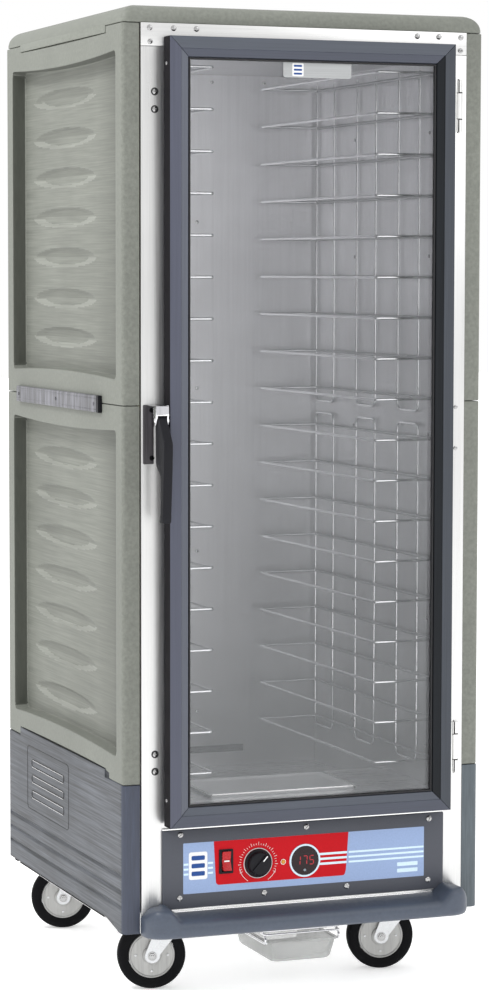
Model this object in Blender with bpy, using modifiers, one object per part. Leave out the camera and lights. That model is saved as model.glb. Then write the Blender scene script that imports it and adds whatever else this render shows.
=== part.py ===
"""Tall insulated holding cabinet on casters: a sheet-metal liner in foam, moulded side shells,
a full-height clear door, a heat module in the base and two pairs of wire slide racks.

The frame: X across, Y from front (-) to back (+), Z up, origin on the floor under the middle.
"""

import math

import bmesh
import bpy
from mathutils import Matrix, Vector

MM = 0.001
GAP = 0.3 * MM

# Driving dimensions of the cabinet body.
DEPTH = 819.0 * MM
LEVER_REACH = 90.0 * MM
FRONT = -DEPTH / 2 + LEVER_REACH
BACK = DEPTH / 2
SHELL_HALF = 354.0 * MM
BASE_HALF = 355.5 * MM
CORE_HALF = 322.0 * MM
FRAME_HALF = 320.0 * MM
BODY_TOP = 1803.0 * MM
LID_SEAM = 1770.0 * MM
MIDDLE_SEAM = 1086.0 * MM
BASE_SEAM = 397.0 * MM
SIDE_BOTTOM = 137.0 * MM
CORNER_BOTTOM = 123.0 * MM
CHASSIS_BOTTOM = 158.0 * MM

# Warm cavity.
LINER_HALF = 296.0 * MM
LINER_BACK = FRONT + 672.0 * MM
CEILING = 1727.0 * MM
FLOOR = 304.0 * MM
MODULE_TOP = 345.0 * MM
MODULE_BACK = FRONT + 310.0 * MM
SHEET = 2.0 * MM

# Slide racks.
WIRE = 3.0 * MM
LEVELS = 18
LEVEL_PITCH = 76.2 * MM
TOP_LEVEL = 1698.0 * MM
LEDGE_INNER = 163.0 * MM
LEDGE_OUTER = 286.0 * MM
LEDGE_FRONT = FRONT + 49.4 * MM
LEDGE_BACK = FRONT + 646.6 * MM
UPRIGHT_X = 290.0 * MM
UPRIGHT_PAIRS = ((146.0 * MM, 243.0 * MM), (353.0 * MM, 448.0 * MM), (564.0 * MM, 660.0 * MM))
RACK_SPANS = {"upper": (1061.0 * MM, 1712.0 * MM), "lower": (384.0 * MM, 1036.0 * MM)}

# Door.
DOOR_HALF = 279.0 * MM
DOOR_LOW, DOOR_HIGH = 321.0 * MM, 1745.0 * MM
DOOR_FACE = FRONT - 42.0 * MM
DOOR_BACK = FRONT - 8.0 * MM
MEMBER = 37.0 * MM
HINGE_AXIS = Vector((293.0 * MM, FRONT - 25.0 * MM, 0.0))
HINGE_HEIGHTS = {"upper": 1633.0 * MM, "lower": 438.0 * MM}

# Latch.
LEVER_X = -299.0 * MM
LEVER_PIVOT = Vector((LEVER_X, FRONT - 50.0 * MM, 1062.0 * MM))

# Control panel.
PANEL_HALF = 281.0 * MM
PANEL_LOW, PANEL_HIGH = 165.0 * MM, 310.5 * MM
PANEL_FACE, PANEL_BACK = FRONT - 4.0 * MM, FRONT - GAP
ROCKER_CENTRE = Vector((-157.7 * MM, FRONT - 2.0 * MM, 247.0 * MM))
ROCKER_TILT = math.radians(8.0)
KNOB_CENTRE = Vector((-94.5 * MM, PANEL_FACE, 239.4 * MM))

# Heat module in the base.
BLOWER = Vector((60.0 * MM, FRONT + 160.0 * MM, 0.0))

# Casters.
CASTER_HALF_X = 231.0 * MM
CASTER_FRONT = FRONT + 81.0 * MM
CASTER_REAR = FRONT + 627.0 * MM
TRAIL = 40.3 * MM
TRAIL_ANGLE = math.radians(166.0)
TYRE_SIDES = 24
WHEEL_RADIUS = 63.5 * MM
TREAD_HALF = 16.0 * MM
HUB_RADIUS = 43.3 * MM


# ---------------------------------------------------------------- scene and materials

for old in list(bpy.data.objects):
    bpy.data.objects.remove(old, do_unlink=True)

PARTS = bpy.data.collections.new("insulated_food_carrier")
TOOLS = bpy.data.collections.new("cutters_and_joins")
bpy.context.scene.collection.children.link(PARTS)
bpy.context.scene.collection.children.link(TOOLS)


def material(name, colour, roughness, metallic=0.0, alpha=1.0):
    made = bpy.data.materials.new(name)
    made.use_nodes = True
    shader = made.node_tree.nodes["Principled BSDF"]
    shader.inputs["Base Color"].default_value = (*colour, 1.0)
    shader.inputs["Roughness"].default_value = roughness
    shader.inputs["Metallic"].default_value = metallic
    shader.inputs["Alpha"].default_value = alpha
    return made


SAGE = material("sage_shell", (0.32, 0.34, 0.29), 0.45)
SLATE = material("slate_moulding", (0.115, 0.13, 0.165), 0.42)
CHARCOAL = material("charcoal_panel", (0.066, 0.068, 0.075), 0.5)
BRUSHED = material("brushed_metal", (0.62, 0.62, 0.62), 0.35, 1.0)
BRIGHT = material("bright_plate", (0.75, 0.75, 0.75), 0.22, 1.0)
CHROME = material("chrome_wire", (0.8, 0.8, 0.82), 0.12, 1.0)
ZINC = material("zinc_plate", (0.55, 0.56, 0.58), 0.38, 1.0)
BLACK = material("black_plastic", (0.02, 0.02, 0.022), 0.4)
RED = material("red_switch", (0.55, 0.02, 0.02), 0.35)
RUBBER = material("rubber", (0.025, 0.025, 0.025), 0.8)
CLEAR = material("clear_sheet", (0.9, 0.92, 0.93), 0.05, 0.0, 0.25)
FOAM = material("foam", (0.75, 0.68, 0.5), 0.9)


# ---------------------------------------------------------------- shape helpers


def place(obj, collection):
    """Link an object to one collection; what only cuts or joins is drawn as wire."""
    collection.objects.link(obj)
    if collection is TOOLS:
        obj.hide_render = True
        obj.display_type = "WIRE"
    return obj


def mesh_object(name, mesh, collection, matrix=None):
    obj = bpy.data.objects.new(name, mesh)
    if matrix is not None:
        obj.matrix_world = matrix
    return place(obj, collection)


def finish(obj, look, smooth_angle=None):
    obj.data.materials.clear()
    obj.data.materials.append(look)
    if smooth_angle is not None:
        obj.data.shade_smooth()
        obj.data.set_sharp_from_angle(angle=smooth_angle)
    return obj


def block(name, x, y, z, collection=PARTS):
    """A box from its low and high limits on each axis."""
    low, high = Vector((x[0], y[0], z[0])), Vector((x[1], y[1], z[1]))
    form = bmesh.new()
    bmesh.ops.create_cube(form, size=1.0)
    bmesh.ops.scale(form, vec=high - low, verts=form.verts)
    mesh = bpy.data.meshes.new(name)
    form.to_mesh(mesh)
    form.free()
    return mesh_object(name, mesh, collection, Matrix.Translation((low + high) / 2))


AXIS_TURN = {
    "X": Matrix(((0, 0, 1), (1, 0, 0), (0, 1, 0))).to_4x4(),
    "Y": Matrix.Rotation(math.radians(90), 4, "X"),
    "Z": Matrix.Identity(4),
}


def drum(name, centre, radius, low, high, axis="Z", sides=16, collection=PARTS, top_radius=None):
    """A cylinder or cone along one axis between two places on that axis."""
    form = bmesh.new()
    bmesh.ops.create_cone(
        form,
        cap_ends=True,
        segments=sides,
        radius1=radius,
        radius2=radius if top_radius is None else top_radius,
        depth=abs(high - low),
    )
    mesh = bpy.data.meshes.new(name)
    form.to_mesh(mesh)
    form.free()
    middle = Vector(centre)
    middle["XYZ".index(axis)] = (low + high) / 2
    turn = Matrix.Rotation(math.radians(90), 4, {"X": "Y", "Y": "X", "Z": "Z"}[axis])
    turn = Matrix.Identity(4) if axis == "Z" else turn
    return mesh_object(name, mesh, collection, Matrix.Translation(middle) @ turn)


def curve_to_mesh(curve_obj, name, collection):
    """The evaluated curve as a welded mesh object in the same place."""
    bpy.context.view_layer.update()
    source = curve_obj.evaluated_get(bpy.context.evaluated_depsgraph_get())
    mesh = bpy.data.meshes.new_from_object(source)
    mesh.name = name
    form = bmesh.new()
    form.from_mesh(mesh)
    bmesh.ops.remove_doubles(form, verts=form.verts, dist=0.00001)
    bmesh.ops.recalc_face_normals(form, faces=form.faces)
    form.to_mesh(mesh)
    form.free()
    matrix = curve_obj.matrix_world.copy()
    bpy.data.objects.remove(curve_obj, do_unlink=True)
    return mesh_object(name, mesh, collection, matrix)


def plate(name, outlines, axis, low, high, collection=PARTS):
    """Flat outlines, the later ones as holes, given thickness along one axis."""
    curve = bpy.data.curves.new(name, "CURVE")
    curve.dimensions = "2D"
    curve.fill_mode = "BOTH"
    curve.extrude = (high - low) / 2
    for outline in outlines:
        spline = curve.splines.new("POLY")
        spline.points.add(len(outline) - 1)
        for point, (u, v) in zip(spline.points, outline):
            point.co = (u, v, 0.0, 1.0)
        spline.use_cyclic_u = True
    flat = place(bpy.data.objects.new(name + "_outline", curve), TOOLS)
    middle = Vector((0, 0, 0))
    middle["XYZ".index(axis)] = (low + high) / 2
    flat.matrix_world = Matrix.Translation(middle) @ AXIS_TURN[axis]
    return curve_to_mesh(flat, name, collection)


def wire(name, points, radius, closed=False, detail=0, collection=PARTS):
    curve = bpy.data.curves.new(name, "CURVE")
    curve.dimensions = "3D"
    curve.bevel_depth = radius
    curve.bevel_resolution = detail
    curve.use_fill_caps = True
    spline = curve.splines.new("POLY")
    spline.points.add(len(points) - 1)
    for point, place_at in zip(spline.points, points):
        point.co = (*place_at, 1.0)
    spline.use_cyclic_u = closed
    loose = place(bpy.data.objects.new(name + "_wire", curve), TOOLS)
    return curve_to_mesh(loose, name, collection)


def turned(name, profile, steps, collection=PARTS):
    """A closed profile of (radius, height) points turned about local Z."""
    mesh = bpy.data.meshes.new(name)
    count = len(profile)
    mesh.from_pydata(
        [(radius, 0.0, height) for radius, height in profile],
        [(i, (i + 1) % count) for i in range(count)],
        [],
    )
    obj = mesh_object(name, mesh, collection)
    screw = obj.modifiers.new("turn", "SCREW")
    screw.steps = steps
    screw.render_steps = steps
    screw.merge_threshold = 0.00001
    screw.use_merge_vertices = True
    return obj


def boolean(obj, others, operation):
    for index, other in enumerate(others):
        step = obj.modifiers.new(f"{operation.lower()}_{index}", "BOOLEAN")
        step.operation = operation
        step.solver = "EXACT"
        step.object = other
    return obj


def join(obj, others):
    return boolean(obj, others, "UNION")


def cut(obj, others):
    return boolean(obj, others, "DIFFERENCE")


def rectangle(u, v):
    return [(u[0], v[0]), (u[1], v[0]), (u[1], v[1]), (u[0], v[1])]


def arc(centre, radius, start, end, steps):
    """Points on a circle from one angle to another, in degrees."""
    return [
        (
            centre[0] + radius * math.cos(math.radians(start + (end - start) * i / steps)),
            centre[1] + radius * math.sin(math.radians(start + (end - start) * i / steps)),
        )
        for i in range(steps + 1)
    ]


def front(*depths):
    """Places in millimetres behind the front frame's face, as world Y."""
    return tuple(FRONT + depth * MM for depth in depths)


def span(side, near, far):
    """The low and high X of something between two distances from the middle on one side."""
    return tuple(sorted((side * near, side * far)))


def pivot(name, location, angle=0.0, parent=None):
    """An empty on a joint's axis, which its moving pieces hang from."""
    empty = bpy.data.objects.new(name, None)
    PARTS.objects.link(empty)
    empty.matrix_world = Matrix.Translation(location) @ Matrix.Rotation(angle, 4, "Z")
    if parent is not None:
        keep_place(empty, parent)
    return empty


def keep_place(obj, parent):
    bpy.context.view_layer.update()
    obj.parent = parent
    obj.matrix_parent_inverse = parent.matrix_world.inverted()


# ---------------------------------------------------------------- body of the cabinet

SIDES = (("left", -1.0), ("right", 1.0))


def make_chassis():
    """Bottom plate with two hanging rails and the four round caster seats."""
    chassis = block(
        "chassis_frame", (-341 * MM, 341 * MM), front(16, 708), (CHASSIS_BOTTOM, 162 * MM)
    )
    extras = []
    for side, sign in SIDES:
        extras.append(
            block(
                f"rail_{side}",
                span(sign, 338 * MM, 341 * MM),
                front(150, 700),
                (124 * MM, 160 * MM),
                TOOLS,
            )
        )
        for row, y in (("front", CASTER_FRONT), ("rear", CASTER_REAR)):
            seat = drum(
                f"seat_{row}_{side}",
                (sign * CASTER_HALF_X, y, 0),
                34 * MM,
                150.3 * MM,
                160 * MM,
                sides=16,
                collection=TOOLS,
            )
            extras.append(seat)
    finish(join(chassis, extras), ZINC)


def make_lid():
    """Rounded cap with a tab that laps each side shell."""
    lid = block(
        "lid_shell",
        (-SHELL_HALF, SHELL_HALF),
        (FRONT + 2 * MM, BACK - 2 * MM),
        (LID_SEAM + GAP, BODY_TOP),
    )
    form = bmesh.new()
    form.from_mesh(lid.data)
    top = [v for v in form.verts if v.co.z > 0]
    taper = 13 * MM
    for vert in top:
        vert.co.x -= math.copysign(taper, vert.co.x)
    rims = [e for e in form.edges if all(v in top for v in e.verts)]
    bmesh.ops.bevel(
        form, geom=rims, offset=17 * MM, segments=3, profile=0.5, affect="EDGES", clamp_overlap=True
    )
    form.to_mesh(lid.data)
    form.free()
    tabs = [
        block(
            f"lid_tab_{side}",
            span(sign, SHELL_HALF - 5 * MM, SHELL_HALF),
            front(100, 631),
            (LID_SEAM - 12 * MM, LID_SEAM + 10 * MM),
            TOOLS,
        )
        for side, sign in SIDES
    ]
    finish(join(lid, tabs), SAGE, math.radians(30))


def recess_cutter(name, sign, low, high):
    """A shallow panel-sized pocket with sloping sides, wider at the outer face."""
    draft = 5 * MM
    floor = SHELL_HALF - 27.5 * MM
    pocket = block(
        name, span(sign, floor, SHELL_HALF + 10 * MM), front(41, 688), (low, high), TOOLS
    )
    for vert in pocket.data.vertices:
        if vert.co.x * sign < 0:
            vert.co.y -= math.copysign(draft, vert.co.y)
            vert.co.z -= math.copysign(draft, vert.co.z)
    return pocket


def make_side_shells():
    rows = {
        "upper": (MIDDLE_SEAM + GAP / 2, LID_SEAM, 1131 * MM, 1724 * MM),
        "lower": (BASE_SEAM + GAP, MIDDLE_SEAM - GAP / 2, 447 * MM, 1041 * MM),
    }
    for side, sign in SIDES:
        for row, (low, high, pocket_low, pocket_high) in rows.items():
            shell = block(
                f"side_shell_{row}_{side}",
                span(sign, CORE_HALF, SHELL_HALF),
                (FRONT + 4 * MM, BACK),
                (low, high),
            )
            cutters = [recess_cutter(f"pocket_{row}_{side}", sign, pocket_low, pocket_high)]
            if row == "upper":
                lap = (LID_SEAM - 12.3 * MM, LID_SEAM + 20 * MM)
                reach = (99.7, 631.3)
            else:
                lap = (BASE_SEAM - 20 * MM, BASE_SEAM + 15.3 * MM)
                reach = (104.7, 645.3)
            cutters.append(
                block(
                    f"lap_{row}_{side}",
                    span(sign, SHELL_HALF - 5.3 * MM, SHELL_HALF + 10 * MM),
                    front(*reach),
                    lap,
                    TOOLS,
                )
            )
            round_outer_corners(shell.data, sign, 9 * MM)
            finish(cut(shell, cutters), SAGE, math.radians(30))


def round_outer_corners(mesh, sign, radius):
    """Round the upright edges on a shell's outer side."""
    form = bmesh.new()
    form.from_mesh(mesh)
    upright = [
        e
        for e in form.edges
        if all(v.co.x * sign > 0 for v in e.verts)
        and abs(e.verts[0].co.z - e.verts[1].co.z) > 0.1
    ]
    bmesh.ops.bevel(
        form, geom=upright, offset=radius, segments=3, profile=0.5, affect="EDGES"
    )
    form.to_mesh(mesh)
    form.free()


def make_base_shells():
    """Corner-wrapping skirts, deeper at the front corner, with a tab lapping the side shell."""
    wall = 5 * MM
    for side, sign in SIDES:
        outer, inner = BASE_HALF, BASE_HALF - wall
        y0, y1 = FRONT + 3 * MM, BACK
        r = 10 * MM
        outline = (
            [(CORE_HALF, y0)]
            + arc((outer - r, y0 + r), r, 270, 360, 4)
            + arc((outer - r, y1 - r), r, 0, 90, 4)
            + [(CORE_HALF, y1), (CORE_HALF, y1 - wall)]
            + [(inner - r + wall, y1 - wall), (inner, y1 - r)]
            + [(inner, y0 + r), (inner - r + wall, y0 + wall), (CORE_HALF, y0 + wall)]
        )
        outline = [(sign * x, y) for x, y in outline]
        skirt = plate(f"base_shell_{side}", [outline], "Z", CORNER_BOTTOM, BASE_SEAM)
        tab = block(
            f"base_tab_{side}",
            span(sign, SHELL_HALF - 3 * MM, BASE_HALF - 0.5 * MM),
            front(105, 645),
            (BASE_SEAM - 9 * MM, BASE_SEAM + 15 * MM),
            TOOLS,
        )
        under = block(
            f"base_trim_{side}",
            span(sign, CORE_HALF - 10 * MM, BASE_HALF + 10 * MM),
            (FRONT + 34 * MM, BACK + 10 * MM),
            (CORNER_BOTTOM - 10 * MM, SIDE_BOTTOM),
            TOOLS,
        )
        finish(join(cut(skirt, [under]), [tab]), SLATE, math.radians(30))


def make_seam_strips():
    for side, sign in SIDES:
        strip = block(
            f"seam_strip_{side}",
            span(sign, SHELL_HALF + GAP, SHELL_HALF + 7.5 * MM),
            front(121, 643),
            (1069 * MM, 1100 * MM),
        )
        finish(strip, BRUSHED)


def make_back_panel():
    panel = block(
        "back_panel",
        (-CORE_HALF + 0.5 * MM, CORE_HALF - 0.5 * MM),
        front(715.5, 719),
        (140 * MM, LID_SEAM),
    )
    finish(panel, BRUSHED)


def make_front_frame():
    opening = 262 * MM
    low, joint = 1712 * MM, 1728.5 * MM
    header = plate(
        "frame_header",
        [
            [
                (-FRAME_HALF, joint),
                (-opening + GAP, joint),
                (-opening + GAP, low),
                (opening - GAP, low),
                (opening - GAP, joint),
                (FRAME_HALF, joint),
                (FRAME_HALF, LID_SEAM),
                (-FRAME_HALF, LID_SEAM),
            ]
        ],
        "Y",
        *front(0, 12),
    )
    finish(header, BRIGHT)
    for side, sign in SIDES:
        stile = block(
            f"frame_stile_{side}",
            span(sign, opening, FRAME_HALF),
            front(0, 12),
            (CORNER_BOTTOM, joint - GAP),
        )
        finish(stile, BRIGHT)


def make_liner():
    for side, sign in SIDES:
        wall = block(
            f"liner_{side}",
            span(sign, LINER_HALF, LINER_HALF + SHEET),
            (front(12.3)[0], LINER_BACK + SHEET),
            (FLOOR - SHEET, CEILING - GAP),
        )
        finish(wall, BRUSHED)
    back = block(
        "liner_back",
        (-LINER_HALF + GAP, LINER_HALF - GAP),
        (LINER_BACK, LINER_BACK + SHEET),
        (FLOOR - SHEET, CEILING - GAP),
    )
    finish(back, BRUSHED)
    ceiling = block(
        "liner_ceiling",
        (-LINER_HALF - SHEET, LINER_HALF + SHEET),
        (front(12.3)[0], LINER_BACK + SHEET),
        (CEILING, CEILING + SHEET),
    )
    finish(ceiling, BRUSHED)


def make_floor():
    """One bent sheet: the raised heat-module cover in front, the cavity floor behind."""
    start = front(12.3)[0]
    end = LINER_BACK - GAP
    outline = [
        (start, MODULE_TOP - SHEET),
        (MODULE_BACK - SHEET, MODULE_TOP - SHEET),
        (MODULE_BACK - SHEET, FLOOR - SHEET),
        (end, FLOOR - SHEET),
        (end, FLOOR),
        (MODULE_BACK, FLOOR),
        (MODULE_BACK, MODULE_TOP),
        (start, MODULE_TOP),
    ]
    deck = plate("floor_deck", [outline], "X", -LINER_HALF + GAP, LINER_HALF - GAP)
    finish(deck, BRUSHED)


def make_insulation():
    jacket = block(
        "insulation_jacket",
        (-CORE_HALF + 0.5 * MM, CORE_HALF - 0.5 * MM),
        front(16, 715),
        (170 * MM, LID_SEAM - 4 * MM),
    )
    hollow = block(
        "cavity",
        (-LINER_HALF - SHEET - GAP, LINER_HALF + SHEET + GAP),
        (FRONT - 50 * MM, LINER_BACK + SHEET + GAP),
        (100 * MM, CEILING + SHEET + GAP),
        TOOLS,
    )
    finish(cut(jacket, [hollow]), FOAM)


def make_water_pan():
    """Open humidity tray with a turned rim, standing on the module cover."""
    pan = block("water_pan", (-150 * MM, 150 * MM), front(104, 276), (MODULE_TOP + GAP, 352 * MM))
    well = block(
        "water_pan_well", (-141 * MM, 141 * MM), front(113, 267), (347 * MM, 360 * MM), TOOLS
    )
    finish(cut(pan, [well]), BRUSHED)


# ---------------------------------------------------------------- slide racks


def ledge(name, sign, height):
    """One flat wire loop that carries a pan's edge, turned in at two chamfered corners."""
    turn = 8 * MM
    near, far = sign * LEDGE_INNER, sign * LEDGE_OUTER
    step = sign * turn
    y0, y1 = LEDGE_FRONT + WIRE, LEDGE_BACK
    points = [
        (far, y0, height),
        (near + step, y0, height),
        (near, y0 + turn, height),
        (near, y1 - turn, height),
        (near + step, y1, height),
        (far, y1, height),
    ]
    return wire(name, points, WIRE, closed=True, collection=TOOLS)


def upright(name, sign, pair, low, high, collection):
    """A pair of upright wires closed into one long loop."""
    turn = 8 * MM
    y0, y1 = FRONT + pair[0], FRONT + pair[1]
    x = sign * UPRIGHT_X
    points = [
        (x, y0, low + turn),
        (x, y0 + turn, low),
        (x, y1 - turn, low),
        (x, y1, low + turn),
        (x, y1, high - turn),
        (x, y1 - turn, high),
        (x, y0 + turn, high),
        (x, y0, high - turn),
    ]
    return wire(name, points, WIRE, closed=True, collection=collection)


def make_racks():
    half = LEVELS // 2
    for side, sign in SIDES:
        for row, first in (("upper", 0), ("lower", half)):
            low, high = RACK_SPANS[row]
            name = f"rack_{row}_{side}"
            rack = upright(name, sign, UPRIGHT_PAIRS[0], low, high, PARTS)
            pieces = []
            for level in range(first, first + half):
                height = TOP_LEVEL - level * LEVEL_PITCH
                pieces.append(ledge(f"{name}_ledge_{level + 1}", sign, height))
            for index, pair in enumerate(UPRIGHT_PAIRS[1:]):
                loop = upright(f"{name}_upright_{index + 2}", sign, pair, low, high, TOOLS)
                pieces.append(loop)
            finish(join(rack, pieces), CHROME, math.radians(50))


# ---------------------------------------------------------------- heat module


def make_heat_module():
    bed = 162 * MM + GAP
    motor = drum("blower_motor", BLOWER, 40 * MM, bed, 228 * MM, sides=20)
    shaft = drum("blower_shaft", BLOWER, 4 * MM, 220 * MM, 288 * MM, sides=12, collection=TOOLS)
    finish(join(motor, [shaft]), ZINC, math.radians(40))

    axle = pivot("blower_axis", BLOWER)
    wheel = drum("blower_wheel", BLOWER, 55 * MM, 236 * MM, 240 * MM, sides=24)
    boss = drum("blower_boss", BLOWER, 11 * MM, 238 * MM, 262 * MM, sides=12, collection=TOOLS)
    ring = drum("blower_ring", BLOWER, 55 * MM, 280 * MM, 283 * MM, sides=24, collection=TOOLS)
    eye = drum("blower_eye", BLOWER, 45 * MM, 279 * MM, 285 * MM, sides=24, collection=TOOLS)
    cut(ring, [eye])
    blades = []
    count = 10
    for index in range(count):
        blade = block(
            f"blower_blade_{index}",
            (-1 * MM, 1 * MM),
            (-6 * MM, 6 * MM),
            (238 * MM, 282 * MM),
            TOOLS,
        )
        turn = Matrix.Rotation(math.tau * index / count, 4, "Z")
        lift = Matrix.Translation((0, 0, 260 * MM))
        out = Matrix.Translation((49 * MM, 0, 0)) @ Matrix.Rotation(math.radians(-55), 4, "Z")
        blade.matrix_world = Matrix.Translation(BLOWER) @ turn @ out @ lift
        blades.append(blade)
    bore = drum("blower_bore", BLOWER, 4.4 * MM, 230 * MM, 270 * MM, sides=12, collection=TOOLS)
    cut(join(wheel, [boss, ring] + blades), [bore])
    finish(wheel, ZINC, math.radians(40))
    keep_place(wheel, axle)

    radius, height = 78 * MM, 262 * MM
    loop = [
        (BLOWER.x + u, BLOWER.y + v, height) for u, v in arc((0, 0), radius, 20, 340, 20)
    ]
    legs = [(p[0], p[1], bed) for p in (loop[0], loop[-1])]
    element = wire("heater_element", [legs[0]] + loop + [legs[1]], 4 * MM, detail=2)
    finish(element, ZINC, math.radians(50))


# ---------------------------------------------------------------- front fittings


def make_bumper():
    half, reach, corner = 322 * MM, 55 * MM, 40 * MM
    back = FRONT - GAP
    tip = FRONT - reach
    right = [(half, back)] + arc((half - corner, tip + corner), corner, 0, -90, 5)
    left = [(-x, y) for x, y in reversed(right)]
    bumper = plate("bumper", [right + left], "Z", 119 * MM, 150 * MM)
    horns = []
    for side, sign in SIDES:
        inner = half - 37 * MM
        outline = [(inner, back), (half - 1 * MM, back)]
        outline += arc((half - corner, tip + corner), corner - 1 * MM, 0, -80, 4)
        outline += [(inner, tip + 2 * MM)]
        outline = [(sign * x, y) for x, y in outline]
        horns.append(plate(f"bumper_horn_{side}", [outline], "Z", 140 * MM, 172 * MM, TOOLS))
    finish(join(bumper, horns), SLATE, math.radians(30))


def make_control_panel():
    panel = block(
        "control_panel",
        (-PANEL_HALF, PANEL_HALF),
        (PANEL_FACE, PANEL_BACK),
        (PANEL_LOW, PANEL_HIGH),
    )
    window = block(
        "rocker_window",
        (ROCKER_CENTRE.x - 10.5 * MM, ROCKER_CENTRE.x + 10.5 * MM),
        front(-10, 5),
        (ROCKER_CENTRE.z - 20.5 * MM, ROCKER_CENTRE.z + 20.5 * MM),
        TOOLS,
    )
    bore = drum(
        "knob_bore", KNOB_CENTRE, 5 * MM, *front(-10, 5), axis="Y", sides=16, collection=TOOLS
    )
    finish(cut(panel, [window, bore]), CHARCOAL)


def make_rocker():
    """Bowed rocker, pressed in at one end, on a cross pin behind the panel."""
    axis = pivot("rocker_axis", ROCKER_CENTRE)
    half, crown = 18 * MM, 9 * MM
    face = arc((-52 * MM, 0), 45 * MM, -23, 23, 6)
    face = [(-(x + 52 * MM) + 36 * MM, z) for x, z in face]
    outline = [(-crown + (y + 9 * MM), z) for y, z in face]
    outline += [(6 * MM, half * 0.6), (6 * MM, -half * 0.6)]
    rocker = plate("rocker_switch", [outline], "X", -9.5 * MM, 9.5 * MM)
    tilt = Matrix.Rotation(-ROCKER_TILT, 4, "X")
    rocker.matrix_world = Matrix.Translation(ROCKER_CENTRE) @ tilt @ rocker.matrix_world
    finish(rocker, RED)
    keep_place(rocker, axis)


def make_knob():
    axis = pivot("knob_axis", KNOB_CENTRE)
    face = PANEL_FACE - GAP
    knob = drum(
        "thermostat_knob", KNOB_CENTRE, 27.5 * MM, face - 5 * MM, face, axis="Y", sides=32
    )
    grip = drum(
        "knob_grip",
        KNOB_CENTRE,
        22 * MM,
        face - 19 * MM,
        face - 4 * MM,
        axis="Y",
        sides=32,
        collection=TOOLS,
    )
    stem = drum(
        "knob_stem", KNOB_CENTRE, 3 * MM, face - 2 * MM, FRONT + 9 * MM, axis="Y", sides=12,
        collection=TOOLS,
    )
    finish(join(knob, [grip, stem]), BLACK, math.radians(40))
    keep_place(knob, axis)


def make_drip_pan():
    """Clear pan that slides forward out of a folded hanger under the chassis."""
    rim_half, half = 71 * MM, 66 * MM
    pan = block("drip_pan", (-rim_half, rim_half), front(-3, 205), (84 * MM, 87 * MM))
    tub = block("drip_tub", (-half, half), front(2, 200), (46 * MM, 85 * MM), TOOLS)
    for vert in tub.data.vertices:
        if vert.co.z < 0:
            vert.co.x *= 0.88
            vert.co.y *= 0.9
    well = block(
        "drip_well", (-half + 2.5 * MM, half - 2.5 * MM), front(4.5, 197.5),
        (49 * MM, 95 * MM), TOOLS,
    )
    for vert in well.data.vertices:
        if vert.co.z < 0:
            vert.co.x *= 0.88
            vert.co.y *= 0.9
    axis = pivot("drip_pan_slide", (0.0, front(84)[0], 84 * MM))
    finish(cut(join(pan, [tub]), [well]), CLEAR)
    keep_place(pan, axis)

    hanger = block(
        "pan_hanger", (-76 * MM, 76 * MM), front(8, 210), (80.5 * MM, CHASSIS_BOTTOM - GAP)
    )
    bay = block(
        "hanger_bay", (-74 * MM, 74 * MM), front(-10, 224),
        (83.5 * MM, CHASSIS_BOTTOM - 2.3 * MM), TOOLS,
    )
    throat = block(
        "hanger_throat", (-68.5 * MM, 68.5 * MM), front(-10, 224), (70 * MM, 90 * MM), TOOLS
    )
    finish(cut(hanger, [bay, throat]), CHROME)


def make_power_inlet():
    """Recessed mains inlet in a square flange low on the back."""
    x, z = 210 * MM, 225 * MM
    back = front(719)[0] + GAP
    inlet = block(
        "power_inlet", (x - 32 * MM, x + 32 * MM), (back, back + 3 * MM), (z - 32 * MM, z + 32 * MM)
    )
    collar = drum("inlet_collar", (x, 0, z), 22 * MM, back + 1 * MM, back + 9 * MM, axis="Y",
                  sides=24, collection=TOOLS)
    socket = drum("inlet_socket", (x, 0, z), 17 * MM, back + 2 * MM, back + 20 * MM, axis="Y",
                  sides=24, collection=TOOLS)
    finish(cut(join(inlet, [collar]), [socket]), BLACK, math.radians(40))


# ---------------------------------------------------------------- door


def make_door():
    hinge = pivot("door_axis", HINGE_AXIS)
    x0, x1 = -DOOR_HALF, DOOR_HALF
    z0, z1 = DOOR_LOW, DOOR_HIGH
    m, g = MEMBER, GAP
    outlines = {
        "door_stile_left": [
            (x0, z0 + g), (x0 + m, z0 + m + g), (x0 + m, z1 - m - g), (x0, z1 - g)
        ],
        "door_stile_right": [
            (x1, z0 + g), (x1, z1 - g), (x1 - m, z1 - m - g), (x1 - m, z0 + m + g)
        ],
        "door_rail_top": [(x0, z1), (x0 + m, z1 - m), (x1 - m, z1 - m), (x1, z1)],
        "door_rail_bottom": [(x0, z0), (x1, z0), (x1 - m, z0 + m), (x0 + m, z0 + m)],
    }
    for name, outline in outlines.items():
        member = plate(name, [outline], "Y", DOOR_FACE, DOOR_BACK)
        finish(member, SLATE)
        keep_place(member, hinge)

    inner = DOOR_HALF - MEMBER - GAP
    pane = block(
        "door_pane", (-inner, inner), front(-31, -25), (z0 + m + GAP, z1 - m - GAP)
    )
    finish(pane, CLEAR)
    keep_place(pane, hinge)

    seal = plate(
        "door_seal",
        [
            rectangle((-272 * MM, 272 * MM), (z0 + 7 * MM, z1 - 7 * MM)),
            rectangle((-263 * MM, 263 * MM), (z0 + 16 * MM, z1 - 16 * MM)),
        ],
        "Y",
        DOOR_BACK + GAP,
        FRONT - 0.6 * MM,
    )
    finish(seal, RUBBER)
    keep_place(seal, hinge)
    make_latch(hinge)
    make_hinges(hinge)


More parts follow.
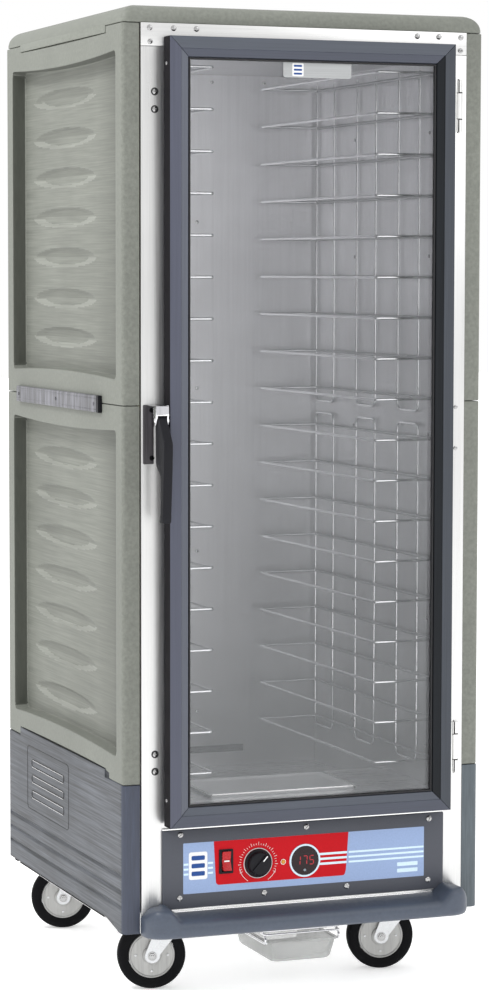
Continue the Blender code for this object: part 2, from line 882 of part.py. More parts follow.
def make_latch(hinge):
    """Edge-mounted body with two cheeks, a pull lever on a cross pin, and the frame's strike."""
    y_pin, z_pin = LEVER_PIVOT.y, LEVER_PIVOT.z
    body = block(
        "latch_body", (-300 * MM, -DOOR_HALF - GAP), front(-40, -8), (1049 * MM, 1088 * MM)
    )
    hood = block("latch_hood", (-311 * MM, -287 * MM), front(-57, -38), (1074 * MM, 1088 * MM),
                 TOOLS)
    cheeks = [
        block(f"latch_cheek_{i}", x, front(-57, -38), (1053 * MM, 1076 * MM), TOOLS)
        for i, x in enumerate(((-311 * MM, -307.8 * MM), (-290.2 * MM, -287 * MM)))
    ]
    pin = drum("latch_pin", (0, y_pin, z_pin), 3 * MM, -309 * MM, -289 * MM, axis="X", sides=12,
               collection=TOOLS)
    finish(join(body, [hood] + cheeks + [pin]), CHROME)
    keep_place(body, hinge)

    axis = pivot("latch_axis", LEVER_PIVOT, parent=hinge)
    top = arc((y_pin, z_pin), 8.7 * MM, -10, 190, 6)
    outline = [
        (FRONT - 66 * MM, 886 * MM),
        (FRONT - 44 * MM, 1040 * MM),
        *top,
        (FRONT - 90 * MM, 1022 * MM),
        (FRONT - 80 * MM, 884 * MM),
        (FRONT - 73 * MM, 879 * MM),
    ]
    lever = plate("latch_handle", [outline], "X", LEVER_X - 8.5 * MM, LEVER_X + 8.5 * MM)
    eye = drum("lever_eye", (0, y_pin, z_pin), 3.4 * MM, -320 * MM, -280 * MM, axis="X", sides=12,
               collection=TOOLS)
    finish(cut(lever, [eye]), BLACK)
    keep_place(lever, axis)

    strike = block("latch_strike", (-318 * MM, -297 * MM), front(-4.3, -0.3), (980 * MM, 1088 * MM))
    finish(strike, BLACK)


def make_hinges(hinge):
    """Door leaves with two knuckles each, frame brackets with a middle knuckle and the pin."""
    x, y = HINGE_AXIS.x, HINGE_AXIS.y
    knuckle, pin, eye = 6.5 * MM, 3 * MM, 3.4 * MM
    for row, middle in HINGE_HEIGHTS.items():
        low, high = middle - 48 * MM, middle + 48 * MM
        inner_low, inner_high = middle - 24 * MM, middle + 24 * MM
        leaf = block(
            f"hinge_leaf_{row}", (DOOR_HALF + GAP, DOOR_HALF + 3 * MM), front(-39, -11), (low, high)
        )
        added, holes = [], []
        for part, (z0, z1) in enumerate(((low, inner_low), (inner_high, high))):
            arm = (z0 + 0.2 * MM, z1 - 0.2 * MM)
            added.append(
                block(f"leaf_arm_{row}_{part}", (DOOR_HALF + 1 * MM, x), (y - 4 * MM, y + 4 * MM),
                      arm, TOOLS)
            )
            added.append(drum(f"leaf_knuckle_{row}_{part}", (x, y, 0), knuckle, *arm, sides=16,
                              collection=TOOLS))
        holes.append(drum(f"leaf_eye_{row}", (x, y, 0), eye, low - 5 * MM, high + 5 * MM, sides=12,
                          collection=TOOLS))
        finish(cut(join(leaf, added), holes), BRIGHT, math.radians(35))
        keep_place(leaf, hinge)

        bracket = drum(f"hinge_bracket_{row}", (x, y, 0), knuckle, inner_low + 0.2 * MM,
                       inner_high - 0.2 * MM, sides=16)
        tall = (inner_low + 0.4 * MM, inner_high - 0.4 * MM)
        neck = block(f"bracket_neck_{row}", (x - 5 * MM, x + 8 * MM), (y, FRONT - GAP), tall, TOOLS)
        foot = block(f"bracket_foot_{row}", (x - 6 * MM, x + 14 * MM), front(-4, -0.3), tall, TOOLS)
        rod = drum(f"hinge_pin_{row}", (x, y, 0), pin, low - 2 * MM, high + 2 * MM, sides=12,
                   collection=TOOLS)
        finish(join(bracket, [neck, foot, rod]), BRIGHT, math.radians(35))


# ---------------------------------------------------------------- casters


def make_caster(name, sign, y):
    """Swivel fork with its axle, hub and tyre, trailing towards one common direction."""
    stand = Matrix.Translation((sign * CASTER_HALF_X, y, 0)) @ Matrix.Rotation(
        TRAIL_ANGLE, 4, "Z"
    )
    swivel = pivot(f"{name}_swivel", stand.translation, TRAIL_ANGLE)
    axle = stand @ Matrix.Translation((TRAIL, 0, WHEEL_RADIUS))

    crown = block(
        f"{name}_fork", (-25 * MM, 27 * MM), (-22 * MM, 22 * MM), (139 * MM, 143 * MM)
    )
    added = []
    leg_outline = [(-25 * MM, 142 * MM)]
    leg_outline += arc((TRAIL, WHEEL_RADIUS), 13 * MM, 200, 380, 6)
    leg_outline += [(27 * MM, 142 * MM)]
    for side, sign_y in SIDES:
        low, high = span(sign_y, 19 * MM, 22 * MM)
        added.append(plate(f"{name}_leg_{side}", [leg_outline], "Y", low, high, TOOLS))
    added.append(
        drum(f"{name}_race", (0, 0, 0), 29 * MM, 142 * MM, 150 * MM, sides=20, collection=TOOLS)
    )
    bolt = drum(f"{name}_bolt", (TRAIL, 0, WHEEL_RADIUS), 5 * MM, -27 * MM, 27 * MM, axis="Y",
                sides=12, collection=TOOLS)
    added.append(bolt)
    for piece in [crown] + added:
        piece.matrix_world = stand @ piece.matrix_world
    finish(join(crown, added), ZINC, math.radians(35))
    keep_place(crown, swivel)

    spin = pivot(f"{name}_axle", axle.translation, TRAIL_ANGLE, swivel)
    lay_over = Matrix.Rotation(math.radians(90), 4, "X")
    flat_down = Matrix.Rotation(math.pi / TYRE_SIDES, 4, "Z")
    hub = turned(
        f"{name}_hub",
        [
            (HUB_RADIUS - GAP, 14 * MM),
            (HUB_RADIUS - GAP, -14 * MM),
            (14 * MM, -16 * MM),
            (5.4 * MM, -17.5 * MM),
            (5.4 * MM, 17.5 * MM),
            (14 * MM, 16 * MM),
        ],
        TYRE_SIDES,
    )
    rim = WHEEL_RADIUS / math.cos(math.pi / TYRE_SIDES)
    tyre = turned(
        f"{name}_tyre",
        [
            (rim - 6 * MM, TREAD_HALF),
            (rim, TREAD_HALF - 5 * MM),
            (rim, 5 * MM - TREAD_HALF),
            (rim - 6 * MM, -TREAD_HALF),
            (HUB_RADIUS + GAP, 3 * MM - TREAD_HALF),
            (HUB_RADIUS + GAP, TREAD_HALF - 3 * MM),
        ],
        TYRE_SIDES,
    )
    for piece, look in ((hub, ZINC), (tyre, RUBBER)):
        piece.matrix_world = axle @ lay_over @ flat_down
        finish(piece, look, math.radians(30))
        keep_place(piece, spin)


def make_casters():
    for row, y in (("front", CASTER_FRONT), ("rear", CASTER_REAR)):
        for side, sign in SIDES:
            make_caster(f"caster_{row}_{side}", sign, y)


make_chassis()
make_lid()
make_side_shells()
make_base_shells()
make_seam_strips()
make_back_panel()
make_front_frame()
make_liner()
make_floor()
make_insulation()
make_water_pan()
make_racks()
make_heat_module()
make_bumper()
make_control_panel()
make_rocker()
make_knob()
make_drip_pan()
make_power_inlet()
make_door()
make_casters()
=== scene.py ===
"""Looks for a tall insulated holding cabinet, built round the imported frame.

Lengths in this file are millimetres unless a name says otherwise. A place is (x, depth, z):
x to the right, depth behind the front frame's face, z above the floor.
"""
import math

import bmesh
import bpy
from mathutils import Matrix, Vector


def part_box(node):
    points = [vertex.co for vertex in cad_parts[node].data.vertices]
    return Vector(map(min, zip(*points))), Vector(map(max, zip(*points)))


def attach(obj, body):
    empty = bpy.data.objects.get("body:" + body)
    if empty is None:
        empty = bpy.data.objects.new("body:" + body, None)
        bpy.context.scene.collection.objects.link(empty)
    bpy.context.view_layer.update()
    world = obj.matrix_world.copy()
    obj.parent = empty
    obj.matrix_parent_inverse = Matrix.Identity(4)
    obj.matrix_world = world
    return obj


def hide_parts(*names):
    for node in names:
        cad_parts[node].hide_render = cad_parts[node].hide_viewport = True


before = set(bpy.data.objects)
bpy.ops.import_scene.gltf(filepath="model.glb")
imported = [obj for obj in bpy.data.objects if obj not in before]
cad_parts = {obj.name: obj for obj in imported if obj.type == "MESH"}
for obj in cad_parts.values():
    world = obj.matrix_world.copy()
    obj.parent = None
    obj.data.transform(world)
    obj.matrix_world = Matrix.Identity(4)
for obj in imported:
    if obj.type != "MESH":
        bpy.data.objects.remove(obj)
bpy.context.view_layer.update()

MM = 0.001
FACE_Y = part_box("frame_header")[0].y
SIDES = (("left", -1), ("right", 1))

# ------ camera, floor and light

CAMERA_AT = Vector((-2.0552, -5.3649, 1.3286))
YAW, PITCH, ROLL = 0.36613, -0.07538, 0.00168
LENS = 107.93


def make_camera():
    forward = Vector(
        (math.sin(YAW) * math.cos(PITCH), math.cos(YAW) * math.cos(PITCH), math.sin(PITCH))
    )
    level = Vector((math.cos(YAW), -math.sin(YAW), 0))
    lift = level.cross(forward)
    right = math.cos(ROLL) * level + math.sin(ROLL) * lift
    up = -math.sin(ROLL) * level + math.cos(ROLL) * lift
    data = bpy.data.cameras.new("studio_camera")
    data.lens = LENS
    data.sensor_width = 36
    camera = bpy.data.objects.new("studio_camera", data)
    bpy.context.scene.collection.objects.link(camera)
    turn = Matrix((right, up, -forward)).transposed().to_4x4()
    camera.matrix_world = Matrix.Translation(CAMERA_AT) @ turn
    bpy.context.scene.camera = camera


def make_light(name, place, aim, size, power):
    data = bpy.data.lights.new(name, "AREA")
    data.shape = "RECTANGLE"
    data.size, data.size_y = size
    data.energy = power
    lamp = bpy.data.objects.new(name, data)
    bpy.context.scene.collection.objects.link(lamp)
    gaze = (Vector(aim) - Vector(place)).normalized()
    lamp.matrix_world = Matrix.Translation(place) @ gaze.to_track_quat("-Z", "Y").to_matrix().to_4x4()


def make_world():
    world = bpy.data.worlds.new("studio")
    bpy.context.scene.world = world
    world.use_nodes = True
    backdrop = world.node_tree.nodes["Background"]
    backdrop.inputs["Color"].default_value = (1, 1, 1, 1)
    backdrop.inputs["Strength"].default_value = 1
    bpy.context.scene.view_settings.view_transform = "Standard"


def make_floor():
    form = bmesh.new()
    bmesh.ops.create_grid(form, x_segments=2, y_segments=2, size=30)
    mesh = bpy.data.meshes.new("studio_floor")
    form.to_mesh(mesh)
    form.free()
    mesh.materials.append(LOOKS["floor"])
    floor = bpy.data.objects.new("studio_floor", mesh)
    bpy.context.scene.collection.objects.link(floor)
    floor.location.z = -0.0005


# ------ materials

LOOKS = {}


def ranged(tree, source, low, high, from_low=0, from_high=1):
    """A factor moved to another range."""
    node = tree.nodes.new("ShaderNodeMapRange")
    for index, value in ((1, from_low), (2, from_high), (3, low), (4, high)):
        node.inputs[index].default_value = value
    tree.links.new(source, node.inputs[0])
    return node.outputs[0]


def multiplied(tree, first, second):
    node = tree.nodes.new("ShaderNodeMath")
    node.operation = "MULTIPLY"
    tree.links.new(first, node.inputs[0])
    tree.links.new(second, node.inputs[1])
    return node.outputs[0]


def noise_at(tree, scale, detail=3, shift=0):
    """Noise in object space, stretched by a scale for each axis, in waves per metre."""
    place = tree.nodes.new("ShaderNodeTexCoord")
    mapping = tree.nodes.new("ShaderNodeMapping")
    mapping.inputs["Scale"].default_value = scale
    mapping.inputs["Location"].default_value = (shift, shift, shift)
    tree.links.new(place.outputs["Object"], mapping.inputs["Vector"])
    noise = tree.nodes.new("ShaderNodeTexNoise")
    noise.inputs["Scale"].default_value = 1
    noise.inputs["Detail"].default_value = detail
    noise.inputs["Roughness"].default_value = 0.6
    tree.links.new(mapping.outputs["Vector"], noise.inputs["Vector"])
    return noise.outputs["Fac"]


def tinted(tree, colour, factor):
    node = tree.nodes.new("ShaderNodeVectorMath")
    node.operation = "SCALE"
    node.inputs[0].default_value = colour
    tree.links.new(factor, node.inputs["Scale"])
    return node.outputs[0]


def look(name, colour, rough, metal, grain, tone, blotch=0.05, swing=0.08, bump=0.06, wear=0,
         dull=0.5, glow=None, painted_shade_fade=None):
    """A surface with grain in its colour, gloss and relief, broad mottling and pale worn edges.

    A fade is painted shade: (axis, start, end, share at the start, share at the end), along one
    object axis.
    """
    made = bpy.data.materials.new(name)
    made.use_nodes = True
    tree = made.node_tree
    shader = tree.nodes["Principled BSDF"]
    fine = noise_at(tree, grain, 4)
    broad = noise_at(tree, (3.1, 3.4, 2.6), 3, 4.7)
    shade = multiplied(
        tree,
        ranged(tree, fine, 1 - tone, 1 + tone, 0.3, 0.7),
        ranged(tree, broad, 1 - blotch, 1 + blotch, 0.3, 0.7),
    )
    if wear:
        point = tree.nodes.new("ShaderNodeNewGeometry").outputs["Pointiness"]
        edge = ranged(tree, point, 1, 1 + wear, 0.52, 0.6)
        shade = multiplied(tree, shade, edge)
    # Painted shade: the colour darkens along one object axis.
    if painted_shade_fade:
        axis, start, end, share_start, share_end = painted_shade_fade
        apart = tree.nodes.new("ShaderNodeSeparateXYZ")
        place = tree.nodes.new("ShaderNodeTexCoord")
        tree.links.new(place.outputs["Object"], apart.inputs[0])
        ramp = ranged(tree, apart.outputs[axis], share_start, share_end, start, end)
        shade = multiplied(tree, shade, ramp)
    tree.links.new(tinted(tree, colour, shade), shader.inputs["Base Color"])
    gloss = ranged(tree, fine, max(rough - swing, 0.03), rough + swing, 0.3, 0.7)
    tree.links.new(gloss, shader.inputs["Roughness"])
    shader.inputs["Metallic"].default_value = metal
    shader.inputs["Specular IOR Level"].default_value = dull
    if glow is not None:
        shader.inputs["Emission Color"].default_value = (*glow[0], 1)
        shader.inputs["Emission Strength"].default_value = glow[1]
    relief = tree.nodes.new("ShaderNodeBump")
    relief.inputs["Strength"].default_value = bump
    relief.inputs["Distance"].default_value = 0.001
    tree.links.new(fine, relief.inputs["Height"])
    tree.links.new(relief.outputs["Normal"], shader.inputs["Normal"])
    LOOKS[name] = made
    return made


def clear_look(name, colour, body, gloss, smudge):
    """A see-through sheet: some of its own colour, more reflection at a glance, faint smears."""
    made = look(name, colour, 0.1, 0, smudge, 0.1, swing=0.05, bump=0.01)
    tree = made.node_tree
    shader = tree.nodes["Principled BSDF"]
    shader.inputs["Metallic"].default_value = gloss
    glance = tree.nodes.new("ShaderNodeLayerWeight")
    glance.inputs["Blend"].default_value = 0.3
    smear = noise_at(tree, smudge, 5, 2.2)
    share = ranged(tree, glance.outputs["Fresnel"], body, 0.75)
    share = multiplied(tree, share, ranged(tree, smear, 0.96, 1.04, 0.3, 0.7))
    clear = tree.nodes.new("ShaderNodeBsdfTransparent")
    mix = tree.nodes.new("ShaderNodeMixShader")
    tree.links.new(share, mix.inputs[0])
    tree.links.new(clear.outputs[0], mix.inputs[1])
    tree.links.new(shader.outputs[0], mix.inputs[2])
    tree.links.new(mix.outputs[0], tree.nodes["Material Output"].inputs["Surface"])


# name, colour, roughness, metal, grain (one number where it is even), tone, other settings
LOOK_TABLE = (
    ("sage", (0.202, 0.211, 0.187), 0.55, 0, 150, 0.14, {"blotch": 0.07, "bump": 0.12, "dull": 0.2}),
    # Lighter: a painted highlight on the lower lip of each oval.
    ("sage_lip_painted_highlight", (0.25, 0.259, 0.23), 0.5, 0, (7, 7, 430), 0.15, {"bump": 0.04, "dull": 0.3}),
    # Darker: painted shade on the upper side of each oval.
    ("sage_scoop_painted_shade", (0.165, 0.172, 0.151), 0.55, 0, (7, 7, 430), 0.2, {"bump": 0.04, "dull": 0.2}),
    # Painted shade for the downward-facing top wall of each side recess.
    ("sage_top_wall_painted_shade", (0.1, 0.105, 0.09), 0.6, 0, 150, 0.12, {}),
    # Brushed recess floor that darkens towards the front wall: painted shade.
    ("sage_brushed", (0.197, 0.205, 0.181), 0.55, 0, (7, 7, 430), 0.22,
     {"blotch": 0.09, "bump": 0.04, "dull": 0.2, "painted_shade_fade": ('Y', -0.275, -0.09, 0.55, 1)}),
    # Painted shade for the front-facing rear wall of each side recess.
    ("sage_rear_wall_painted_shade", (0.07, 0.075, 0.062), 0.6, 0, (200, 200, 40), 0.12, {}),
    ("sage_plain", (0.2, 0.21, 0.185), 0.5, 0, (150, 60, 150), 0.12, {"wear": 0.1, "dull": 0.2}),
    ("slate", (0.062, 0.077, 0.108), 0.4, 0, 140, 0.08, {"wear": 0.4}),
    # Darker copy for the base moulding's front faces: painted shade.
    ("slate_front_painted_shade", (0.043, 0.052, 0.08), 0.42, 0, (260, 260, 20), 0.2, {}),
    ("slate_brushed", (0.08, 0.086, 0.097), 0.5, 0, (5, 5, 300), 0.8,
     {"blotch": 0.2, "bump": 0.16, "dull": 0.25}),
    # Lighter copy for the right base moulding's front faces: painted light.
    ("slate_front_right_painted_light", (0.085, 0.105, 0.12), 0.42, 0, (260, 260, 20), 0.2, {}),
    # Copies of the door slate: the left stile's inner band is lighter (painted light); the right
    # stile's bands and the darker level band are painted shade.
    ("slate_upright", (0.064, 0.07, 0.103), 0.4, 0, (420, 420, 5), 0.1, {}),
    ("slate_left_inner_painted_light", (0.083, 0.092, 0.118), 0.4, 0, (420, 420, 5), 0.1, {}),
    ("slate_right_painted_shade", (0.05, 0.057, 0.07), 0.4, 0, (420, 420, 5), 0.14, {"dull": 0.3}),
    ("slate_right_inner_painted_shade", (0.008, 0.01, 0.013), 0.4, 0, (420, 420, 5), 0.2, {"dull": 0.2}),
    ("slate_level", (0.068, 0.078, 0.1), 0.4, 0, (5, 420, 420), 0.1, {}),
    ("slate_level_painted_shade", (0.05, 0.057, 0.081), 0.4, 0, (5, 420, 420), 0.1, {}),
    ("charcoal", (0.058, 0.063, 0.08), 0.5, 0, 420, 0.12, {"bump": 0.12}),
    ("strip", (0.13, 0.13, 0.145), 0.42, 0, (60, 110, 9), 0.8, {"blotch": 0.2}),
    ("frame_upright", (0.7, 0.7, 0.695), 0.34, 0.9, (640, 640, 5), 0.06, {}),
    ("frame_level", (0.72, 0.72, 0.715), 0.34, 0.9, (5, 640, 640), 0.05, {}),
    ("hinge_metal", (0.8, 0.8, 0.79), 0.34, 0.9, (300, 300, 20), 0.06, {}),
    ("cap_metal", (0.5, 0.5, 0.52), 0.2, 1, (90, 90, 6), 0.16, {"swing": 0.05}),
    ("strike_metal", (0.044, 0.04, 0.046), 0.4, 0, (420, 420, 8), 0.5, {}),
    # Near-black door side faces: painted shade of the gap round the door.
    ("door_edge", (0.01, 0.009, 0.011), 0.6, 0, (300, 300, 8), 0.3, {"dull": 0.06}),
    # The liner looks darken towards the bottom: painted shade.
    ("liner", (0.79, 0.785, 0.81), 0.4, 1, (160, 160, 3), 0.05,
     {"blotch": 0.1, "bump": 0.03, "painted_shade_fade": ('Z', 0.35, 1.6, 0.46, 1)}),
    # A lighter copy of the liner for the right wall: painted light.
    ("liner_painted_light", (0.9, 0.895, 0.92), 0.4, 1, (160, 160, 3), 0.05,
     {"blotch": 0.1, "bump": 0.03, "painted_shade_fade": ('Z', 0.35, 1.6, 0.55, 1)}),
    ("pan_metal", (0.88, 0.88, 0.89), 0.36, 0.35, (5, 300, 300), 0.05, {"bump": 0.03}),
    ("liner_floor", (0.9, 0.9, 0.91), 0.3, 1, (5, 300, 300), 0.06, {"bump": 0.03}),
    ("back_sheet", (0.5, 0.5, 0.5), 0.36, 1, (5, 5, 320), 0.07, {"blotch": 0.08}),
    ("chrome", (0.82, 0.82, 0.84), 0.13, 1, 60, 0.04, {"swing": 0.05}),
    # A darker copy of the wire for the run along the wall: painted shade.
    ("wire_wall_painted_shade", (0.42, 0.42, 0.44), 0.4, 1, 60, 0.06, {}),
    ("bright", (0.84, 0.84, 0.84), 0.2, 1, 300, 0.04, {"swing": 0.05}),
    ("screw", (0.42, 0.42, 0.42), 0.2, 1, 300, 0.1, {"swing": 0.05}),
    ("zinc", (0.6, 0.61, 0.62), 0.3, 1, 120, 0.09, {"blotch": 0.1}),
    ("wheel_disc", (0.4, 0.4, 0.39), 0.42, 0.7, (260, 260, 12), 0.14, {}),
    ("rubber", (0.008, 0.008, 0.009), 0.72, 0, 260, 0.2, {"bump": 0.2, "dull": 0.06}),
    ("gasket", (0.01, 0.01, 0.012), 0.6, 0, 220, 0.15, {"bump": 0.12}),
    ("black_plastic", (0.009, 0.009, 0.012), 0.5, 0, 380, 0.14, {"dull": 0.18}),
    # Black; in the back slot and the louvre slits it is painted shade for the openings.
    ("black_and_painted_shade", (0.004, 0.004, 0.005), 0.8, 0, 90, 0.2, {"dull": 0.1}),
    ("red_label", (0.5, 0.006, 0.012), 0.5, 0, 300, 0.05, {"dull": 0.12}),
    ("blue_label", (0.29, 0.385, 0.6), 0.5, 0, 300, 0.05, {"dull": 0.2}),
    ("pale_label", (0.62, 0.78, 0.88), 0.4, 0, 300, 0.04, {}),
    # White print; on the rocker's crest it is a painted highlight.
    ("white_print_and_painted_highlight", (0.8, 0.8, 0.8), 0.4, 0, 300, 0.04, {}),
    ("navy_label", (0.02, 0.07, 0.26), 0.5, 0, 300, 0.05, {"dull": 0.2}),
    ("silver_label", (0.4, 0.41, 0.415), 0.4, 0.4, (6, 500, 500), 0.1, {"dull": 0.3}),
    ("red_switch", (0.42, 0.004, 0.008), 0.25, 0, 200, 0.06, {"dull": 0.4}),
    ("dark_lens", (0.014, 0.004, 0.006), 0.25, 0, 60, 0.15, {"dull": 0.3}),
    ("digit", (0.3, 0.01, 0.02), 0.5, 0, 200, 0.08, {"glow": ((1, 0.03, 0.05), 0.22)}),
    ("amber", (0.6, 0.26, 0.01), 0.3, 0, 200, 0.08, {"dull": 0.6}),
    ("foam", (0.72, 0.62, 0.4), 0.85, 0, 240, 0.14, {"bump": 0.4}),
    ("floor", (0.95, 0.95, 0.95), 0.6, 0, 3, 0.004,
     {"blotch": 0.004, "bump": 0, "dull": 0, "glow": ((1, 1, 1), 0.45)}),
)


def make_looks():
    for name, colour, rough, metal, grain, tone, more in LOOK_TABLE:
        waves = grain if isinstance(grain, tuple) else (grain, grain, grain)
        look(name, colour, rough, metal, waves, tone, **more)
    clear_look("glass", (0.75, 0.78, 0.8), 0.05, 1, (5, 5, 5))
    clear_look("clear_tub", (0.62, 0.63, 0.62), 0.3, 0.2, (30, 30, 30))


# ------ shape tools


def at(x, depth, z):
    return Vector((x * MM, FACE_Y + depth * MM, z * MM))


def place_on(axis, u, v, w):
    """The place for flat coordinates u, v in the plane across an axis, at w along it."""
    if axis == "X":
        return at(w, u, v)
    if axis == "Y":
        return at(u, w, v)
    return at(u, v, w)


def turn_to(direction):
    """A turn that carries +Z to a direction."""
    return Vector(direction).normalized().to_track_quat("Z", "Y").to_matrix().to_4x4()


FRONTWARD = Matrix.Rotation(math.radians(90), 4, "X")


def facing_front(x, depth, z):
    """Carries a turned shape from the origin to a place, with its +Z towards the door side."""
    return Matrix.Translation(at(x, depth, z)) @ FRONTWARD


def local(x, y, z):
    """A place on an upright shape's own axes."""
    return Vector((x * MM, y * MM, z * MM))


def level_ring(outline, z):
    return [at(x, depth, z) for x, depth in outline]


def loft(rings, loop=False, caps=True):
    """A skin over closed rings of equally many points."""
    part = bmesh.new()
    rows = [[part.verts.new(point) for point in ring] for ring in rings]
    count = len(rows[0])
    following = rows[1:] + ([rows[0]] if loop else [])
    for low, high in zip(rows, following):
        for i in range(count):
            j = (i + 1) % count
            part.faces.new((low[i], low[j], high[j], high[i]))
    if caps and not loop:
        part.faces.new(rows[0][::-1])
        part.faces.new(rows[-1])
    bmesh.ops.recalc_face_normals(part, faces=part.faces)
    return part


def softened(part, edges, size, steps=2):
    """Bevel some edges of a part."""
    if size > 0:
        bmesh.ops.bevel(
            part, geom=edges, offset=size * MM, segments=steps, profile=0.5, affect="EDGES",
            clamp_overlap=True,
        )
    return part


def slab(outline, axis, low, high, edge=0.5, steps=2):
    """A flat outline with thickness along an axis and softened rims."""
    rings = [[place_on(axis, u, v, w) for u, v in outline] for w in (low, high)]
    part = loft(rings)
    count = len(outline)
    rims = [e for e in part.edges if any(len(f.verts) == count for f in e.link_faces)]
    if count == 4:
        rims = list(part.edges)
    return softened(part, rims, edge, steps)


def box(low, high, edge=0.5, steps=2):
    outline = [(low[0], low[1]), (high[0], low[1]), (high[0], high[1]), (low[0], high[1])]
    return slab(outline, "Z", low[2], high[2], edge, steps)


def round_box(u, v, radius, steps=4):
    """A rounded rectangle's outline; radius may be one number or four, from low-low round."""
    radii = radius if isinstance(radius, (list, tuple)) else (radius,) * 4
    corners = (
        (u[0], v[0], 180, 1, 1), (u[1], v[0], 270, -1, 1),
        (u[1], v[1], 0, -1, -1), (u[0], v[1], 90, 1, -1),
    )
    points = []
    for (x, y, start, sx, sy), r in zip(corners, radii):
        r = max(r, 0.01)
        points += arc((x + sx * r, y + sy * r), r, start, start + 90, steps)
    return points


def plate(x, z, radius, steps, near, far, edge=0.5, rounds=2):
    """A rounded upright plate that faces the front."""
    return slab(round_box(x, z, radius, steps), "Y", near, far, edge, rounds)


def side_box(sign, x, depth, z, edge=0.5):
    """A box given for the right-hand side, put on either side by a sign."""
    low, high = sorted((sign * x[0], sign * x[1]))
    return box((low, depth[0], z[0]), (high, depth[1], z[1]), edge)


def arc(centre, radius, start, end, steps):
    turns = [math.radians(start + (end - start) * i / steps) for i in range(steps + 1)]
    return [(centre[0] + radius * math.cos(a), centre[1] + radius * math.sin(a)) for a in turns]


def lathe(profile, sides=32, loop=False):
    """(radius, height) points turned about local Z, in metres at the origin."""
    turns = [math.tau * i / sides for i in range(sides)]
    rings = [
        [Vector((r * MM * math.cos(a), r * MM * math.sin(a), h * MM)) for a in turns]
        for r, h in profile
    ]
    return loft(rings, loop=loop)


def moved(part, matrix):
    part.transform(matrix)
    return part


def round_path(points, radius, steps=5, closed=False):
    """A path of points with its corners rounded."""
    points = [Vector(p) for p in points]
    count = len(points)
    made = []
    for i, here in enumerate(points):
        if not closed and i in (0, count - 1):
            made.append(here)
            continue
        before, after = points[i - 1], points[(i + 1) % count]
        one, two = (before - here), (after - here)
        bend = math.pi - one.angle(two)
        if bend < 0.02:
            made.append(here)
            continue
        reach = min(radius * math.tan(bend / 2), 0.49 * one.length, 0.49 * two.length)
        start, end = here + one.normalized() * reach, here + two.normalized() * reach
        for k in range(steps + 1):
            t = k / steps
            made.append((1 - t) ** 2 * start + 2 * t * (1 - t) * here + t * t * end)
    return made


def tube(path, radius, sides=10, closed=False):
    """A round wire along a path in metres; radius in millimetres."""
    count = len(path)
    rings = []
    tangent_before = None
    normal = None
    for i, here in enumerate(path):
        after = path[(i + 1) % count] if closed or i < count - 1 else here
        before = path[i - 1] if closed or i > 0 else here
        tangent = (after - before).normalized()
        if normal is None:
            spare = Vector((0, 0, 1)) if abs(tangent.z) < 0.9 else Vector((1, 0, 0))
            normal = tangent.cross(spare).normalized()
        else:
            normal = tangent_before.rotation_difference(tangent) @ normal
            normal = (normal - normal.dot(tangent) * tangent).normalized()
        tangent_before = tangent
        side = tangent.cross(normal)
        rings.append([
            here + radius * MM * (math.cos(a) * normal + math.sin(a) * side)
            for a in (math.tau * k / sides for k in range(sides))
        ])
    return loft(rings, loop=closed)


def stack(levels, steps):
    """A skin over rounded level rectangles: (x span, depth span, corner, height)."""
    return loft([level_ring(round_box(x, depth, corner, steps), z) for x, depth, corner, z in levels])


def wire(points, radius, bend=0, closed=False):
    """A round wire through places given in millimetres, with its corners bent."""
    path = [at(*p) for p in points]
    if bend:
        path = round_path(path, bend * MM, 5, closed)
    return tube(path, radius, 10, closed)


def to_object(part):
    mesh = bpy.data.meshes.new("shape")
    part.to_mesh(mesh)
    part.free()
    obj = bpy.data.objects.new("shape", mesh)
    bpy.context.scene.collection.objects.link(obj)
    return obj


def carved(part, cutters):
    """A part with other parts cut out of it."""
    body = to_object(part)
    tools = [to_object(cutter) for cutter in cutters]
    for tool in tools:
        step = body.modifiers.new("carve", "BOOLEAN")
        step.operation = "DIFFERENCE"
        step.solver = "EXACT"
        step.object = tool
    bpy.context.view_layer.update()
    result = body.evaluated_get(bpy.context.evaluated_depsgraph_get())
    mesh = bpy.data.meshes.new_from_object(result)
    done = bmesh.new()
    done.from_mesh(mesh)
    bpy.data.meshes.remove(mesh)
    for spare in [body] + tools:
        bpy.data.objects.remove(spare, do_unlink=True)
    return done


class Piece:
    """One named piece gathered from parts in several looks."""

    def __init__(self, *looks):
        self.form = bmesh.new()
        self.looks = looks

    def add(self, part, which=0, matrix=None):
        if matrix is not None:
            part.transform(matrix)
        for face in part.faces:
            face.material_index = which
        keep = bpy.data.meshes.new("keep")
        part.to_mesh(keep)
        part.free()
        self.form.from_mesh(keep)
        bpy.data.meshes.remove(keep)

    def paint(self, pick):
        """Give each face the look that a function of the face picks."""
        for face in self.form.faces:
            face.material_index = pick(face)

    def done(self, name, body, stands_for=(), sharp=33, slot=None):
        mesh = bpy.data.meshes.new(name)
        self.form.to_mesh(mesh)
        self.form.free()
        for each in self.looks:
            mesh.materials.append(LOOKS[each])
        mesh.shade_smooth()
        mesh.set_sharp_from_angle(angle=math.radians(sharp))
        obj = bpy.data.objects.new(name, mesh)
        bpy.context.scene.collection.objects.link(obj)
        if stands_for:
            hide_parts(*stands_for)
        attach(obj, body)


# ------ fasteners


